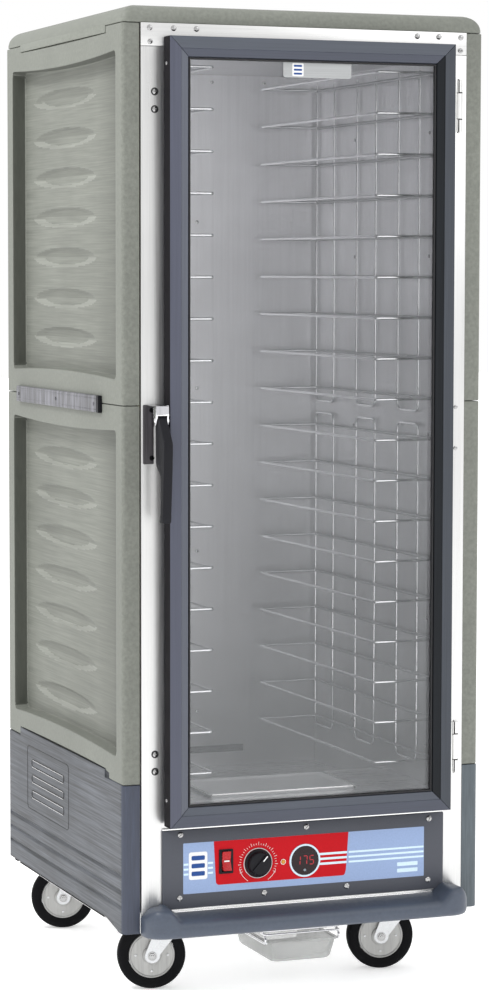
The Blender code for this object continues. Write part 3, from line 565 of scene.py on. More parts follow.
def screw_parts():
    """Heads at the origin with +Z outward: a slotted pan head, a cross head and a plain rivet."""
    dome = [(1, -0.15), (1, 0.1), (0.93, 0.32), (0.72, 0.48), (0.4, 0.56), (0.05, 0.58)]

    def head(tall=1):
        return lathe([(r, h * tall) for r, h in dome], 28)

    def bar(length, width, low, high, angle=0):
        part = bmesh.new()
        bmesh.ops.create_cube(part, size=1)
        spread = Vector((length, width, high - low)) * MM
        bmesh.ops.scale(part, vec=spread, verts=part.verts)
        lift = Matrix.Translation((0, 0, (low + high) / 2 * MM))
        return moved(part, Matrix.Rotation(angle, 4, "Z") @ lift)

    cross = [bar(1.25, 0.26, 0.12, 2, angle) for angle in (0, math.pi / 2)]
    return {
        "slot": carved(head(), [bar(3, 0.3, 0.22, 2)]),
        "cross": carved(head(), cross),
        "rivet": head(0.8),
    }


SCREWS = {}


def screw(piece, place, size, kind="slot", direction=(0, -1, 0), angle=0.6, which=0):
    part = SCREWS[kind].copy()
    grow = Matrix.Diagonal((size, size, size, 1))
    matrix = (
        Matrix.Translation(place) @ turn_to(direction) @ Matrix.Rotation(angle, 4, "Z") @ grow
    )
    piece.add(part, which, matrix)


# ------ moulded shells

SHELL_X = 354
CORE_X = 322
BODY_BACK = 729
OVALS = {
    "upper": (1658.6, 1582.8, 1506.8, 1430.6, 1354.3, 1275.9, 1201.1),
    "lower": (968, 892.6, 815, 735.4, 659.4, 583.3, 501),
}
RECESS = {"upper": (1131, 1724, 8, 9.3), "lower": (443.5, 1041.5, 8.6, 7.5)}
ROWS = {"upper": (1086.7, 1769.3), "lower": (397.8, 1085.3)}
RECESS_DEPTHS = (41, 688)
TABS = {"upper": (99, 632, 1757), "lower": (104, 646, 412.9)}
RIM = ((0, 0), (0.6, 0.25), (1, 1.2), (1.3, 4), (1.5, 11), (1.7, 19), (2.1, 25.2),
       (3.2, 27), (5.5, 27.4), (8, 27.5))


def along(table, value):
    """Straight-line reading of a table of (input, output)."""
    if value <= table[0][0]:
        return table[0][1]
    for (a, p), (b, q) in zip(table, table[1:]):
        if value <= b:
            return p + (q - p) * (value - a) / (b - a)
    return table[-1][1]


def smooth(low, high, value):
    t = min(max((value - low) / (high - low), 0), 1)
    return t * t * (3 - 2 * t)


def inset(value_u, value_v, span_u, span_v, corner):
    """How far a place is inside a rounded rectangle."""
    du = min(value_u - span_u[0], span_u[1] - value_u)
    dv = min(value_v - span_v[0], span_v[1] - value_v)
    if du < corner and dv < corner:
        return corner - math.hypot(corner - du, corner - dv)
    return min(du, dv)


def filled(stops, step):
    """The stops with even steps put in between."""
    made = [stops[0]]
    for low, high in zip(stops, stops[1:]):
        count = max(1, round((high - low) / step))
        made += [low + (high - low) * (i + 1) / count for i in range(count)]
    return made


def recess_warp(row, depth, z):
    """Bow the recess's level edges towards its middle."""
    low, high, rise, drop = RECESS[row]
    start, end = ROWS[row]
    middle, half = sum(RECESS_DEPTHS) / 2, (RECESS_DEPTHS[1] - RECESS_DEPTHS[0]) / 2
    bow = max(0, 1 - ((depth - middle) / half) ** 2)
    table = ((start, start), (low, low + rise * bow), (high, high - drop * bow), (end, end))
    return along(table, z)


def side_depth(row, depth, z):
    """How far the side is sunk at one place, before its level edges are bowed."""
    return along(RIM, inset(depth, z, RECESS_DEPTHS, RECESS[row][:2], 13))


def oval_place(row, depth, z):
    """The share of the way out from the nearest oval's middle, and the height in it."""
    middle = min(OVALS[row], key=lambda m: abs(m - z))
    return math.hypot((depth - 434) / 192, (z - middle) / 19), (z - middle) / 19


def oval_depth(row, depth, z):
    """A scooped dimple with a crisp rim."""
    out = oval_place(row, depth, z)[0]
    return 8.5 * (1 - out ** 2.2) if out < 1 else 0


def oval_look(row, depth, z):
    """The plain brushed floor, the lower lip of an oval with a painted highlight, or its upper side
    with painted shade.
    """
    out, height = oval_place(row, depth, z)
    if out < 1.04 and height < -0.1 and out > 0.72:
        return 4
    return 5 if out < 0.97 and height > 0.05 else 2


def side_stops(row):
    """The heights and the depths of the shell's rows and columns, close together at the rims."""
    start, end = ROWS[row]
    low, high = RECESS[row][:2]
    d0, d1 = RECESS_DEPTHS
    steps = [step for step, _ in RIM[1:]]
    levels = [start, start + 0.5, start + 1.5, low]
    levels += [low + s for s in steps] + [high - s for s in reversed(steps)]
    levels += [high, end - 1.5, end - 0.5, end]
    depths = [13, d0] + [d0 + s for s in steps] + [d1 - s for s in reversed(steps)]
    return filled(levels, 2.7), filled(depths + [d1, BODY_BACK - 6.5], 5.2)


def tucked(ease, size):
    """How far a rounded edge draws in at a distance from its end."""
    return size - math.sqrt(max(0, size ** 2 - (size - min(ease, size)) ** 2))


def under_tab(row, depth, z):
    """Whether a neighbouring moulding's tab laps the place."""
    front, back, edge = TABS[row]
    return front < depth < back and (z > edge if row == "upper" else z < edge)


def side_ring(row, z, depths):
    """One level outline of the shell, from its inner front edge round to its inner back edge."""
    corner = 6.5
    start, end = ROWS[row]
    tuck = tucked(min(z - start, end - z), 1.4)
    ring = [(CORE_X, 4 + tuck, z), (CORE_X + 6, 4 + tuck, z)]
    ring += [(x - tuck, d + tuck * (1 - (x - SHELL_X + corner) / corner), z)
             for x, d in arc((SHELL_X - corner, 4 + corner), corner, -90, 0, 5)[:-1]]
    for d in depths:
        sunk = side_depth(row, d, z) + tuck
        real = recess_warp(row, d, z)
        if sunk > 27:
            sunk += oval_depth(row, d, real)
        if under_tab(row, d, real):
            sunk += 5.2
        ring.append((SHELL_X - sunk, d, real))
    ring += [(x - tuck, d, z)
             for x, d in arc((SHELL_X - corner, BODY_BACK - corner), corner, 0, 90, 5)[1:]]
    return ring + [(CORE_X, BODY_BACK, z)]


def side_look(row, face):
    d0, d1 = RECESS_DEPTHS
    middle = face.calc_center_median()
    depth = (middle.y - FACE_Y) / MM
    if abs(middle.x) < (SHELL_X - 26) * MM and d0 < depth < d1 - 3:
        return oval_look(row, depth, middle.z / MM)
    # The recess's front-facing rear wall gets painted shade.
    if face.normal.y < -0.9 and d1 - 3.6 < depth < d1:
        return 1
    # The recess's downward-facing top wall gets painted shade.
    return 3 if face.normal.z < -0.6 and d0 < depth < d1 and abs(middle.x) < 353 * MM else 0


def make_side_shell(row, side, sign):
    levels, depths = side_stops(row)
    rings = [[at(sign * x, d, zz) for x, d, zz in side_ring(row, z, depths)] for z in levels]
    piece = Piece("sage", "sage_rear_wall_painted_shade", "sage_brushed", "sage_top_wall_painted_shade", "sage_lip_painted_highlight", "sage_scoop_painted_shade")
    piece.add(loft(rings))
    piece.paint(lambda face: side_look(row, face))
    name = f"side_shell_{row}_{side}"
    piece.done("moulded_" + name, "cabinet", (name,), 24, "sage_shell")


LID_FRONT, LID_BACK, LID_CORNER = 2, 727, 14
LID_CURVE = (
    (1770.6, 1.2), (1771, 0.4), (1772, 0), (1776, 0.2), (1781, 1.2), (1786, 3.2),
    (1790.5, 6.2), (1794.5, 10), (1798, 15), (1800.6, 21), (1802.2, 28),
    (1802.8, 36), (1803, 46),
)


def make_lid():
    """A cap whose outline shrinks with height along the lid's curve."""
    levels = []
    for z, shrink in LID_CURVE:
        half_x, corner = SHELL_X - shrink, max(LID_CORNER - shrink * 0.4, 3)
        levels.append(((-half_x, half_x), (LID_FRONT + shrink, LID_BACK - shrink), corner, z))
    piece = Piece("sage_plain")
    piece.add(stack(levels, 6))
    for sign in (-1, 1):
        outline = round_box((100, 631), (1758, 1772.5), (2.5, 2.5, 0.1, 0.1), 3)
        low, high = sorted((sign * (SHELL_X - 5), sign * (SHELL_X + 0.2)))
        piece.add(slab(outline, "X", low, high, 0.6))
    piece.done("rounded_lid", "cabinet", ("lid_shell",), 40, "sage_shell")


BASE_X = 355.5
RIBS = (227, 198.5, 170)
BASE_TOP = 396.6
BASE_BOTTOM = 123


def base_depth(depth, z):
    """Shallow sloping steps that make three ribs, run out before the corners."""
    sunk = 0
    for middle in RIBS:
        if middle - 7 < z < middle + 7:
            fall = (middle + 7 - z) / 14
            sunk = max(sunk, 4 * math.sin(math.pi * min(1, fall * 1.3)) ** 2)
    return sunk * smooth(2, 9, depth) * smooth(728, 716, depth)


def base_top(depth):
    return 412 if 105 <= depth <= 645 else BASE_TOP


def make_base_shell(side, sign):
    corner, wall = 10, 5
    stops = [corner + 3, 20, 104.7, 105, 645, 645.3, 716, BODY_BACK - corner]
    depths = filled(stops, 6)
    ribs = sorted(z + s for z in RIBS for s in (-7, -5, -3, -1, 1, 3, 5, 7))
    levels = filled([BASE_BOTTOM, 123.6, 125, 128, 160] + ribs, 5)
    levels = filled(levels + [388, 394, 396.1, BASE_TOP], 6)
    front_arc = arc((BASE_X - corner, 3 + corner), corner, -90, 0, 6)
    back_arc = arc((BASE_X - corner, BODY_BACK - corner), corner, 0, 90, 6)
    rings = []
    for z in levels:
        tuck = tucked(min(z - BASE_BOTTOM, BASE_TOP - z), 1.2)
        outer = [(CORE_X, 3 + tuck)] + [(x - tuck, d + tuck) for x, d in front_arc[:-1]]
        outer += [(BASE_X - tuck - base_depth(d, z), d) for d in depths]
        outer += [(x - tuck, d - tuck) for x, d in back_arc[1:]] + [(CORE_X, BODY_BACK - tuck)]
        inner = [(CORE_X, BODY_BACK - wall), (BASE_X - wall - 3, BODY_BACK - wall)]
        inner += [(BASE_X - wall, min(d, BODY_BACK - wall - 3)) for d in reversed(depths)]
        inner += [(BASE_X - wall - 3, 3 + wall), (CORE_X, 3 + wall)]
        ring = []
        for x, d in outer + inner:
            floor = 137 - 14 * smooth(62, 26, d)
            lid = base_top(d)
            table = ((BASE_BOTTOM, floor), (160, 160), (388, 388), (BASE_TOP, lid))
            ring.append(at(sign * x, d, along(table, z)))
        rings.append(ring)
    # Front faces take a copy with painted shade on the left and painted light on the right.
    front_painted_look = "slate_front_painted_shade" if side == "left" else "slate_front_right_painted_light"
    piece = Piece("slate_brushed", front_painted_look, "gasket", "bright", "rubber")
    piece.add(loft(rings))
    piece.paint(lambda face: int(face.calc_center_median().y < FACE_Y + 11 * MM))
    add_emblem(piece, sign)
    piece.add(side_box(sign, (338.2, 341), (150, 700), (124, 157.5), 0.6), 3)
    piece.add(side_box(sign, (330, 346), (703, 722), (127, 157.5), 2), 4)
    name = f"base_shell_{side}"
    piece.done("moulded_" + name, "cabinet", (name,), 24, "slate_moulding")


def add_emblem(piece, sign):
    """A plain rack sign let into the side: a rounded frame round three shelf bars."""
    skin = BASE_X - 0.35
    frame_path = round_box((326, 596), (258, 384), 10, 5)
    piece.add(tube([at(sign * skin, d, z) for d, z in frame_path], 1, 6, True), 2)
    for level in (290, 321, 352):
        for x, shift, drop, radius, which in ((skin, 0, 0, 1.5, 2), (skin - 0.1, 1.5, 1.2, 1, 3)):
            middle = level - drop
            bar = round_box((356 + shift, 566 + shift), (middle - 7, middle + 7), 6.6, 5)
            piece.add(tube([at(sign * x, d, z) for d, z in bar], radius, 6, True), which)


def make_seam_strip(side, sign):
    piece = Piece("strip", "black_plastic")
    middle, near, far = 1084.5, SHELL_X + 0.3, SHELL_X + 7.5
    outline = [(near, 1069), (far - 1.5, 1069), (far, 1070.5), (far, 1098.5),
               (far - 1.5, 1100), (near, 1100)]
    rings = [
        [at(sign * x, depth, middle + (z - middle) * grow) for x, z in outline]
        for depth, grow in ((134, 0.97), (134.6, 1), (642.4, 1), (643, 0.97))
    ]
    piece.add(loft(rings))
    for edge in (1074.5, 1094.5):
        line = (edge - 0.9, edge + 0.9)
        piece.add(side_box(sign, (far - 0.3, far + 0.5), (136, 641), line, 0.3))
    cap = round_box((near, far + 0.4), (1068.5, 1100.5), 2, 3)
    rings = [[at(sign * x, depth, z) for x, z in cap] for depth in (121, 121.5, 133, 133.5)]
    piece.add(loft(rings), 1)
    for depth in (150, 382, 628):
        screw(piece, at(sign * far, depth, middle), 3.6, "rivet", (sign, 0, 0))
    name = f"seam_strip_{side}"
    piece.done("joining_" + name, "cabinet", (name,), 30, "brushed_metal")


# ------ front frame and liner


def make_front_frame():
    header = Piece("frame_level", "screw", "black_and_painted_shade")
    outline = [(-320, 1728.6), (-261.7, 1728.6), (-261.7, 1712), (261.7, 1712),
               (261.7, 1728.6), (320, 1728.6), (320, 1770), (-320, 1770)]
    header.add(slab(outline, "Y", 0, 12, 0.7))
    for x in (-303.4, -258, -214.4, 219.7, 263.3, 308.1):
        screw(header, at(x, 0, 1761), 5.2, "rivet", which=1, angle=x)
    for x in (-302.6, 307.3):
        screw(header, at(x, 0, 1736.5), 4.8, "cross", which=1, angle=x)
    header.done("frame_header_plate", "cabinet", ("frame_header",), slot="bright_plate")
    sill = Piece("frame_level")
    sill.add(box((-261.6, 1, 315), (261.6, 5, 344.7), 0.6))
    sill.done("opening_sill", "cabinet", slot="bright_plate")
    for side, sign in SIDES:
        stile = Piece("frame_upright", "screw", "gasket")
        stile.add(side_box(sign, (262, 320), (0, 12), (123, 1728), 0.8))
        if side == "left":
            for z in (1648, 1616.6, 452.3, 420.6):
                ring = lathe([(7, -0.2), (7, 0.5), (6.2, 0.9), (5.4, 0.5), (5.4, -0.2)], 28)
                stile.add(ring, 2, facing_front(-294, 0, z))
                screw(stile, at(-294, 0, z), 5.2, "cross", angle=z, which=1)
        else:
            for z in (1075, 998):
                screw(stile, at(302.5, 0, z), 4, "rivet", which=1)
        name = f"frame_stile_{side}"
        stile.done(name + "_plate", "cabinet", (name,), slot="bright_plate")


def make_liner_details():
    dots = Piece("screw", "black_and_painted_shade", "liner_floor")
    for x, z in ((32.1, 1427.7), (32.2, 1088.7), (32.2, 753), (32.3, 420),
                 (64.4, 1712), (178.2, 1712), (-120, 1712)):
        screw(dots, at(x, 671.9, z), 3.4, "rivet")
    for z in (1590, 1357, 1018, 665, 420):
        for sign in (-1, 1):
            for depth in (470, 110):
                screw(dots, at(sign * 295.9, depth, z), 3.4, "rivet", (-sign, 0, 0))
    # A black plate on the back wall: painted shade standing for the air slot.
    dots.add(plate((-134.6, 134.6), (333, 347), 1.5, 3, 671, 671.9, 0.2), 1)
    for x in (-238, -176, 14, 205):
        screw(dots, at(x, 28, 345.1), 4.4, "cross", (0, 0, 1), x)
    dots.add(box((-295, 8, 345), (295, 20, 346.2)), 2)
    dots.add(box((-295, 300, 345.1), (295, 309.6, 347), 0.8), 2)
    dots.done("liner_fasteners", "cabinet", slot="bright_plate")


def pan_look(face):
    """Its wall, its wide sloping flange and floor, or its bright rim."""
    height = face.calc_center_median().z / MM
    if abs(face.normal.z) < 0.5:
        return 2 if height < 349.4 else 0
    return 1 if height < 351.6 else 0


def make_water_pan():
    """A drawn tray with a rolled rim and a wide sloping flange."""
    rim = ((150, 345.4), (150, 349.4), (150, 351), (149.2, 352), (146.5, 352.2), (144.5, 351.2),
           (138, 347.6), (132, 347))
    middle, longer = 190, 22
    levels = []
    for half_x, z in rim:
        half_depth = (half_x + longer) / 2
        levels.append(((-half_x, half_x), (middle - half_depth, middle + half_depth), 9, z))
    # The pan's wall takes the liner look, with its painted shade.
    piece = Piece("bright", "pan_metal", "liner")
    piece.add(stack(levels, 5))
    piece.paint(pan_look)
    piece.done("drawn_water_pan", "cabinet", ("water_pan",), 40, "brushed_metal")


# ------ slide racks

LEVEL_STEP = 76.2
TOP_LEVEL = 1698


def make_racks():
    for side, sign in SIDES:
        for row, first, (low, high) in (
            ("upper", 0, (1061, 1709)), ("lower", 9, (384, 1036))
        ):
            piece = Piece("chrome", "wire_wall_painted_shade")
            for level in range(first, first + 9):
                z = TOP_LEVEL - level * LEVEL_STEP
                near, far = sign * 163, sign * 287
                corners = [(far, 52.4, z), (near, 52.4, z), (near, 646.6, z), (far, 646.6, z)]
                piece.add(wire(corners, 2.8, 6, True))
            # The run along the wall takes a darker look: painted shade.
            piece.paint(lambda face: int(abs(face.calc_center_median().x) > 283 * MM))
            for d0, d1 in ((146, 243), (353, 448), (566, 660)):
                x = sign * 291.6
                corners = [(x, d0, high), (x, d0, low), (x, d1, low), (x, d1, high)]
                piece.add(wire(corners, 2.5, 16, row == "lower"))
            name = f"rack_{row}_{side}"
            piece.done("wire_" + name, "cabinet", (name,), 60, "chrome_wire")


# ------ door

DOOR_X = 279
DOOR_Z = (321, 1745)
MEMBER_SECTION = (
    (0, -8), (0, -40.6), (0.4, -41.6), (1.4, -42), (20.2, -42), (21, -41.7),
    (22, -40.4), (34.4, -37.6), (35.6, -36.8), (36.2, -35.4), (36.2, -31.6), (37, -31.4),
    (37, -27.6), (28.6, -26), (28.6, -8),
)


def door_member(corner_a, corner_b, inward):
    """A mitred bar between two door corners, by its section's distance inward."""
    mitre = 0.35
    rings = []
    for corner, end in ((corner_a, 1), (corner_b, -1)):
        run = Vector(corner_b) - Vector(corner_a)
        run.normalize()
        for trim in (0, 0.7) if end == 1 else (0.7, 0):
            ring = []
            for reach, depth in MEMBER_SECTION:
                slip = (reach + mitre + trim) * end
                x, z = Vector(corner) + run * slip + Vector(inward) * reach
                ring.append(at(x, depth + (0.7 - trim) * 0.6, z))
            rings.append(ring)
    return loft(rings)


def make_door_frame():
    left, right, (low, high) = -DOOR_X, DOOR_X, DOOR_Z
    # Lit and shaded copies of the slate: painted light on the left stile's inner band; painted shade
    # on the right stile, the top rail's inner band and the bottom rail's outer band.
    bars = {
        "door_stile_left": (
            (left, low), (left, high), (1, 0), "slate_upright", "slate_left_inner_painted_light"),
        "door_stile_right": (
            (right, low), (right, high), (-1, 0), "slate_right_painted_shade", "slate_right_inner_painted_shade"),
        "door_rail_top": (
            (left, high), (right, high), (0, -1), "slate_level", "slate_level_painted_shade"),
        "door_rail_bottom": (
            (left, low), (right, low), (0, 1), "slate_level_painted_shade", "slate_level"),
    }
    for name, (start, end, inward, outer_band, inner_band) in bars.items():
        piece = Piece(outer_band, inner_band, "door_edge")
        piece.add(door_member(start, end, inward))
        edge = at(start[0], 0, start[1])
        way = Vector((inward[0], 0, inward[1]))
        # Inner bands take their copy; the outer side faces take near-black painted shade.
        for face in piece.form.faces:
            reach = (face.calc_center_median() - edge).dot(way) / MM
            face.material_index = 1 if reach > 21 else 2 if reach < 0.1 else 0
        piece.done("profiled_" + name, "door", (name,), 20, "slate_moulding")
    rivets = Piece("screw")
    for x, direction in ((-DOOR_X, (-1, 0, 0)), (DOOR_X, (1, 0, 0))):
        for z in (1697, 370):
            screw(rivets, at(x, -22, z), 3.6, "rivet", direction)
    rivets.done("door_edge_rivets", "door", slot="bright_plate")


def frame_ring(half_x, z_low, z_high, section):
    """A rectangular ring: section points are (distance inward, depth)."""
    rings = []
    for sx, sz, z_side in ((-1, 1, z_low), (1, 1, z_low), (1, -1, z_high), (-1, -1, z_high)):
        rings.append([at(sx * (half_x - r), d, z_side + sz * r) for r, d in section])
    return loft(rings, loop=True)


def make_pane():
    gasket = Piece("gasket")
    section = ((0.3, -30.9), (0.3, -36.4), (1.2, -37), (2.6, -36.6), (3.4, -35),
               (3.6, -31.2))
    gasket.add(frame_ring(241.8, 358.2, 1707.8, section))
    gasket.done("pane_gasket", "door", slot="rubber")
    seal = Piece("gasket")
    section = ((0, -7.7), (0, -2.4), (1.4, -0.9), (4.5, -0.7), (7.6, -0.9), (9, -2.4),
               (9, -7.7))
    seal.add(frame_ring(272, 328, 1738, section))
    seal.done("door_seal_bead", "door", ("door_seal",), 40, "rubber")
    label = Piece("silver_label", "white_print_and_painted_highlight", "navy_label")
    corners = (4, 4, 1, 1)
    label.add(plate((-59.5, 74), (1677, 1705.5), corners, 4, -32, -31.1, 0.2))
    label.add(plate((-42, -20), (1679.5, 1703), 2, 3, -32.3, -31.9, 0.1), 1)
    for z in (1684, 1691, 1698):
        label.add(plate((-39, -23), (z - 1.7, z + 1.7), 1.2, 2, -32.6, -32.2, 0.1), 2)
    label.done("pane_label", "door", slot="bright_plate")


PIN_X, PIN_DEPTH = 293, -25


def barrel(bore, tall):
    """The section of a hinge knuckle with eased rims."""
    return [(bore, 0), (5.9, 0), (6.5, 0.6), (6.5, tall - 0.6), (5.9, tall), (bore, tall)]


def on_pin(z):
    return Matrix.Translation(at(PIN_X, PIN_DEPTH, z))


def make_hinges():
    for row, middle in (("upper", 1633), ("lower", 438)):
        leaf = Piece("hinge_metal", "black_and_painted_shade")
        bracket = Piece("hinge_metal", "black_and_painted_shade")
        outline = round_box((-39, -11), (middle - 48, middle + 48), 2, 3)
        leaf.add(slab(outline, "X", 279.3, 282, 0.4))
        for low, high in ((middle - 47.8, middle - 24.2), (middle + 24.2, middle + 47.8)):
            leaf.add(lathe(barrel(3.4, high - low), 28, loop=True), 0, on_pin(low))
            leaf.add(box((280, -29, low), (288.5, -25.2, high), 0.5))
        for z, foot_z in ((middle - 36, middle - 24.4), (middle + 36, middle + 24.4)):
            leaf.add(box((289, -31.9, z - 11.6), (291.2, -31.2, z + 11.6), 0.2), 1)
            leaf.add(box((289, -31.9, foot_z - 1), (297, -31.2, foot_z + 1), 0.2), 1)
        for z in (middle - 38, middle - 12, middle + 12, middle + 38):
            screw(leaf, at(282, -17, z), 3.2, "cross", (1, 0, 0), z)
        leaf.done(f"knuckled_hinge_leaf_{row}", "door", (f"hinge_leaf_{row}",), 30,
                  "bright_plate")
        low, tall = middle - 23.8, 47.6
        bracket.add(lathe(barrel(0.1, tall), 28), 0, on_pin(low))
        pin = [(2.2, 0), (3, 0.8), (3, 99.2), (2.2, 100)]
        bracket.add(lathe(pin, 20), 0, on_pin(middle - 50))
        bracket.add(box((288.4, -25, low), (301, -2, low + tall), 1.2, 3))
        bracket.add(plate((287, 307), (low, low + tall), 3, 4, -4, -0.3, 0.8))
        for low_z, high_z in ((low - 0.2, low + 0.5), (low + tall - 0.5, low + tall + 0.2)):
            ring = [(3.4, low_z), (6.7, low_z), (6.7, high_z), (3.4, high_z)]
            bracket.add(lathe(ring, 28, loop=True), 1, on_pin(0))
        bracket.done(f"hinge_bracket_{row}_barrel", "cabinet", (f"hinge_bracket_{row}",), 30,
                     "bright_plate")


# ------ latch


LEVER_X = -299
LEVER_ROWS = (
    (1070, -51, -46, 12), (1068, -55, -43.5, 14.5), (1062, -60, -41.4, 16.5),
    (1050, -69.5, -41.6, 17), (1036, -79.5, -41.8, 17), (1026, -86.5, -42, 17),
    (1022, -89, -42, 17), (1017, -89.6, -42.2, 17), (1000, -88.9, -42.8, 17),
    (986, -88, -43.6, 17), (980, -87.7, -46, 17), (975, -87.4, -52, 17),
    (970, -87, -60, 17), (965, -86.6, -66, 17), (958, -86.1, -69, 17),
    (940, -84.8, -69.5, 16.8), (915, -83, -69, 16.6), (898, -81.6, -68, 16.6),
    (889, -80.9, -65.5, 17.2), (882, -79.8, -62.6, 17.2), (879.8, -77.8, -63.6, 15.8),
    (879, -75.5, -66.5, 12.5),
)


def make_latch_body():
    body = Piece("chrome", "black_plastic", "cap_metal", "bright")
    body.add(plate((-300, -279.3), (1049, 1088), 2, 3, -38, -8, 0.8))
    hood = [(-8, 1088), (-56, 1088), (-57, 1087), (-57, 1071.5), (-55, 1071.5),
            (-55, 1085), (-8, 1085)]
    body.add(slab(hood, "X", -311, -287, 0.7), 2)
    body.add(box((-311.2, -57.6, 1070.4), (-286.8, -55.6, 1072.8), 0.6), 3)
    cheek = [(-38, 1087), (-56.5, 1087), (-57, 1072), (-54.5, 1058),
             (-50.5, 1052), (-46, 1051), (-38, 1060)]
    for low, high in ((-311, -308), (-290, -287)):
        body.add(slab(cheek, "X", low, high, 0.5))
    for x, turn in ((-311, -1), (-287, 1)):
        screw(body, at(x, -50, 1062), 4.6, "rivet", (turn, 0, 0))
    body.done("latch_clevis", "door", ("latch_body",), 30, "chrome_wire")


def make_latch_lever():
    """A grip lofted up rows of (height, front, back, width)."""
    levels = [
        ((LEVER_X - width / 2, LEVER_X + width / 2), (front, back), 1.9, z)
        for z, front, back, width in LEVER_ROWS
    ]
    lever = Piece("black_plastic")
    lever.add(stack(levels, 3))
    lever.done("latch_lever_grip", "latch_lever", ("latch_handle",), 38, "black_plastic")


def make_latch_strike():
    strike = Piece("strike_metal", "black_and_painted_shade")
    strike.add(plate((-317, -297.2), (981, 1088), 2, 3, -4.3, -0.3, 0.9))
    for z in (1078.5, 992):
        screw(strike, at(-301, -4.2, z), 4.6, "cross", angle=z, which=1)
    strike.done("latch_strike_cover", "cabinet", ("latch_strike",), 30, "black_plastic")


# ------ control panel

PANEL = ((-281, 281), (165, 310.5))
KNOB = (-94.5, 239.4)
DIAL = (-1.4, 237.9)
LAMP = (-45.1, 238.4)
ROCKER = (-157.7, 247)
SEGMENTS = {"1": "bc", "7": "abc", "5": "acdfg"}
SEGMENT_PLACES = {
    "a": (0, 1, 0), "b": (1, 0.5, 1), "c": (1, -0.5, 1), "d": (0, -1, 0),
    "e": (-1, -0.5, 1), "f": (-1, 0.5, 1), "g": (0, 0, 0),
}


def disc_at(x, z, radius, low, high, edge=0.2):
    profile = [(radius, 0), (radius, high - low - edge), (radius - edge, high - low)]
    return moved(lathe(profile, 40), facing_front(x, -low, z))


def ring_at(x, z, outer, inner, low, high, sides=48):
    tall = high - low
    profile = [(outer, 0), (outer, tall * 0.6), (outer - 0.5, tall), (inner + 0.5, tall),
               (inner, tall * 0.6), (inner, 0)]
    return moved(lathe(profile, sides, loop=True), facing_front(x, -low, z))


def sticker(outline, level):
    """A thin printed layer on the panel's face."""
    return slab(outline, "Y", -4 - 0.25 * level, -3.8, 0.05, 1)


def rocker_window(gap):
    """The cutter for the rocker's opening, with a gap round it."""
    x, z = ROCKER
    return plate((x - 10 - gap, x + 10 + gap), (z - 20 - gap, z + 20 + gap), 0.5, 1, -12, 6, 0)


def make_panel_face():
    piece = Piece("charcoal")
    face = plate(*PANEL, (7, 7, 1.2, 1.2), 5, -4, -0.3, 0.8)
    piece.add(carved(face, [rocker_window(0.3)]))
    piece.done("control_panel_plate", "cabinet", ("control_panel",), 30, "charcoal_panel")


def make_overlay():
    piece = Piece("blue_label", "red_label", "pale_label", "white_print_and_painted_highlight", "navy_label")
    blue = sticker(round_box((-241, 241), (191.5, 285.5), 1.5, 3), 1)
    piece.add(carved(blue, [rocker_window(0.4)]), 0)
    outline = [(-181.5, 285.4), (-177.4, 211)]
    outline += arc((-171, 210.5), 6.3, 180, 270, 5)
    outline += arc((74, 210.5), 6.3, 270, 360, 5) + [(81.4, 214), (86.4, 285.4)]
    piece.add(carved(sticker(outline, 2), [rocker_window(0.4)]), 1)
    bars = []
    for z in (247.4, 238.2, 229):
        end = 84 - (247.4 - z) * 0.06
        bars += [((27, end), (z - 2.1, z + 2.1), 0.1, 1, 2, 3),
                 ((87, 240), (z - 1.8, z + 1.8), 0.1, 1, 2, 2),
                 ((-240, -231), (z - 3, z + 0.6), 0.1, 1, 2, 2),
                 ((-193, -183), (z - 3, z + 0.6), 0.1, 1, 2, 2)]
    bars += [((186, 228), (z - 3.6, z + 3.6), 1, 2, 2, 2) for z in (205, 217)]
    bars += [((-230, -194), (217, 268), 4, 4, 3, 2)]
    bars += [((-225, -199), (z - 4.2, z + 4.2), 2, 3, 4, 3) for z in (228, 242.5, 257)]
    for u, v, radius, steps, which, level in bars:
        piece.add(sticker(round_box(u, v, radius, steps), level), which)
    make_dial_scale(piece)
    piece.done("control_overlay", "cabinet", slot="charcoal_panel")


def make_dial_scale(piece):
    """Tick marks round the knob, every third one longer, and two plain sweeps."""
    for index in range(31):
        angle = math.radians(205 - index * 7.8)
        outer = 37 if index % 3 else 39.5
        mark = box((-0.36, 33.5, 0), (0.36, outer, 0.1), 0)
        mark.transform(Matrix.Translation(-at(0, 0, 0)))
        turn = Matrix.Rotation(angle - math.pi / 2, 4, "Z")
        piece.add(mark, 3, facing_front(KNOB[0], -4.7, KNOB[1]) @ turn)
    for start, end in ((-58, -22), (192, 238)):
        path = [at(KNOB[0] + u, -4.7, KNOB[1] + v) for u, v in arc((0, 0), 37.5, start, end, 12)]
        piece.add(tube(path, 0.5, 6), 3)


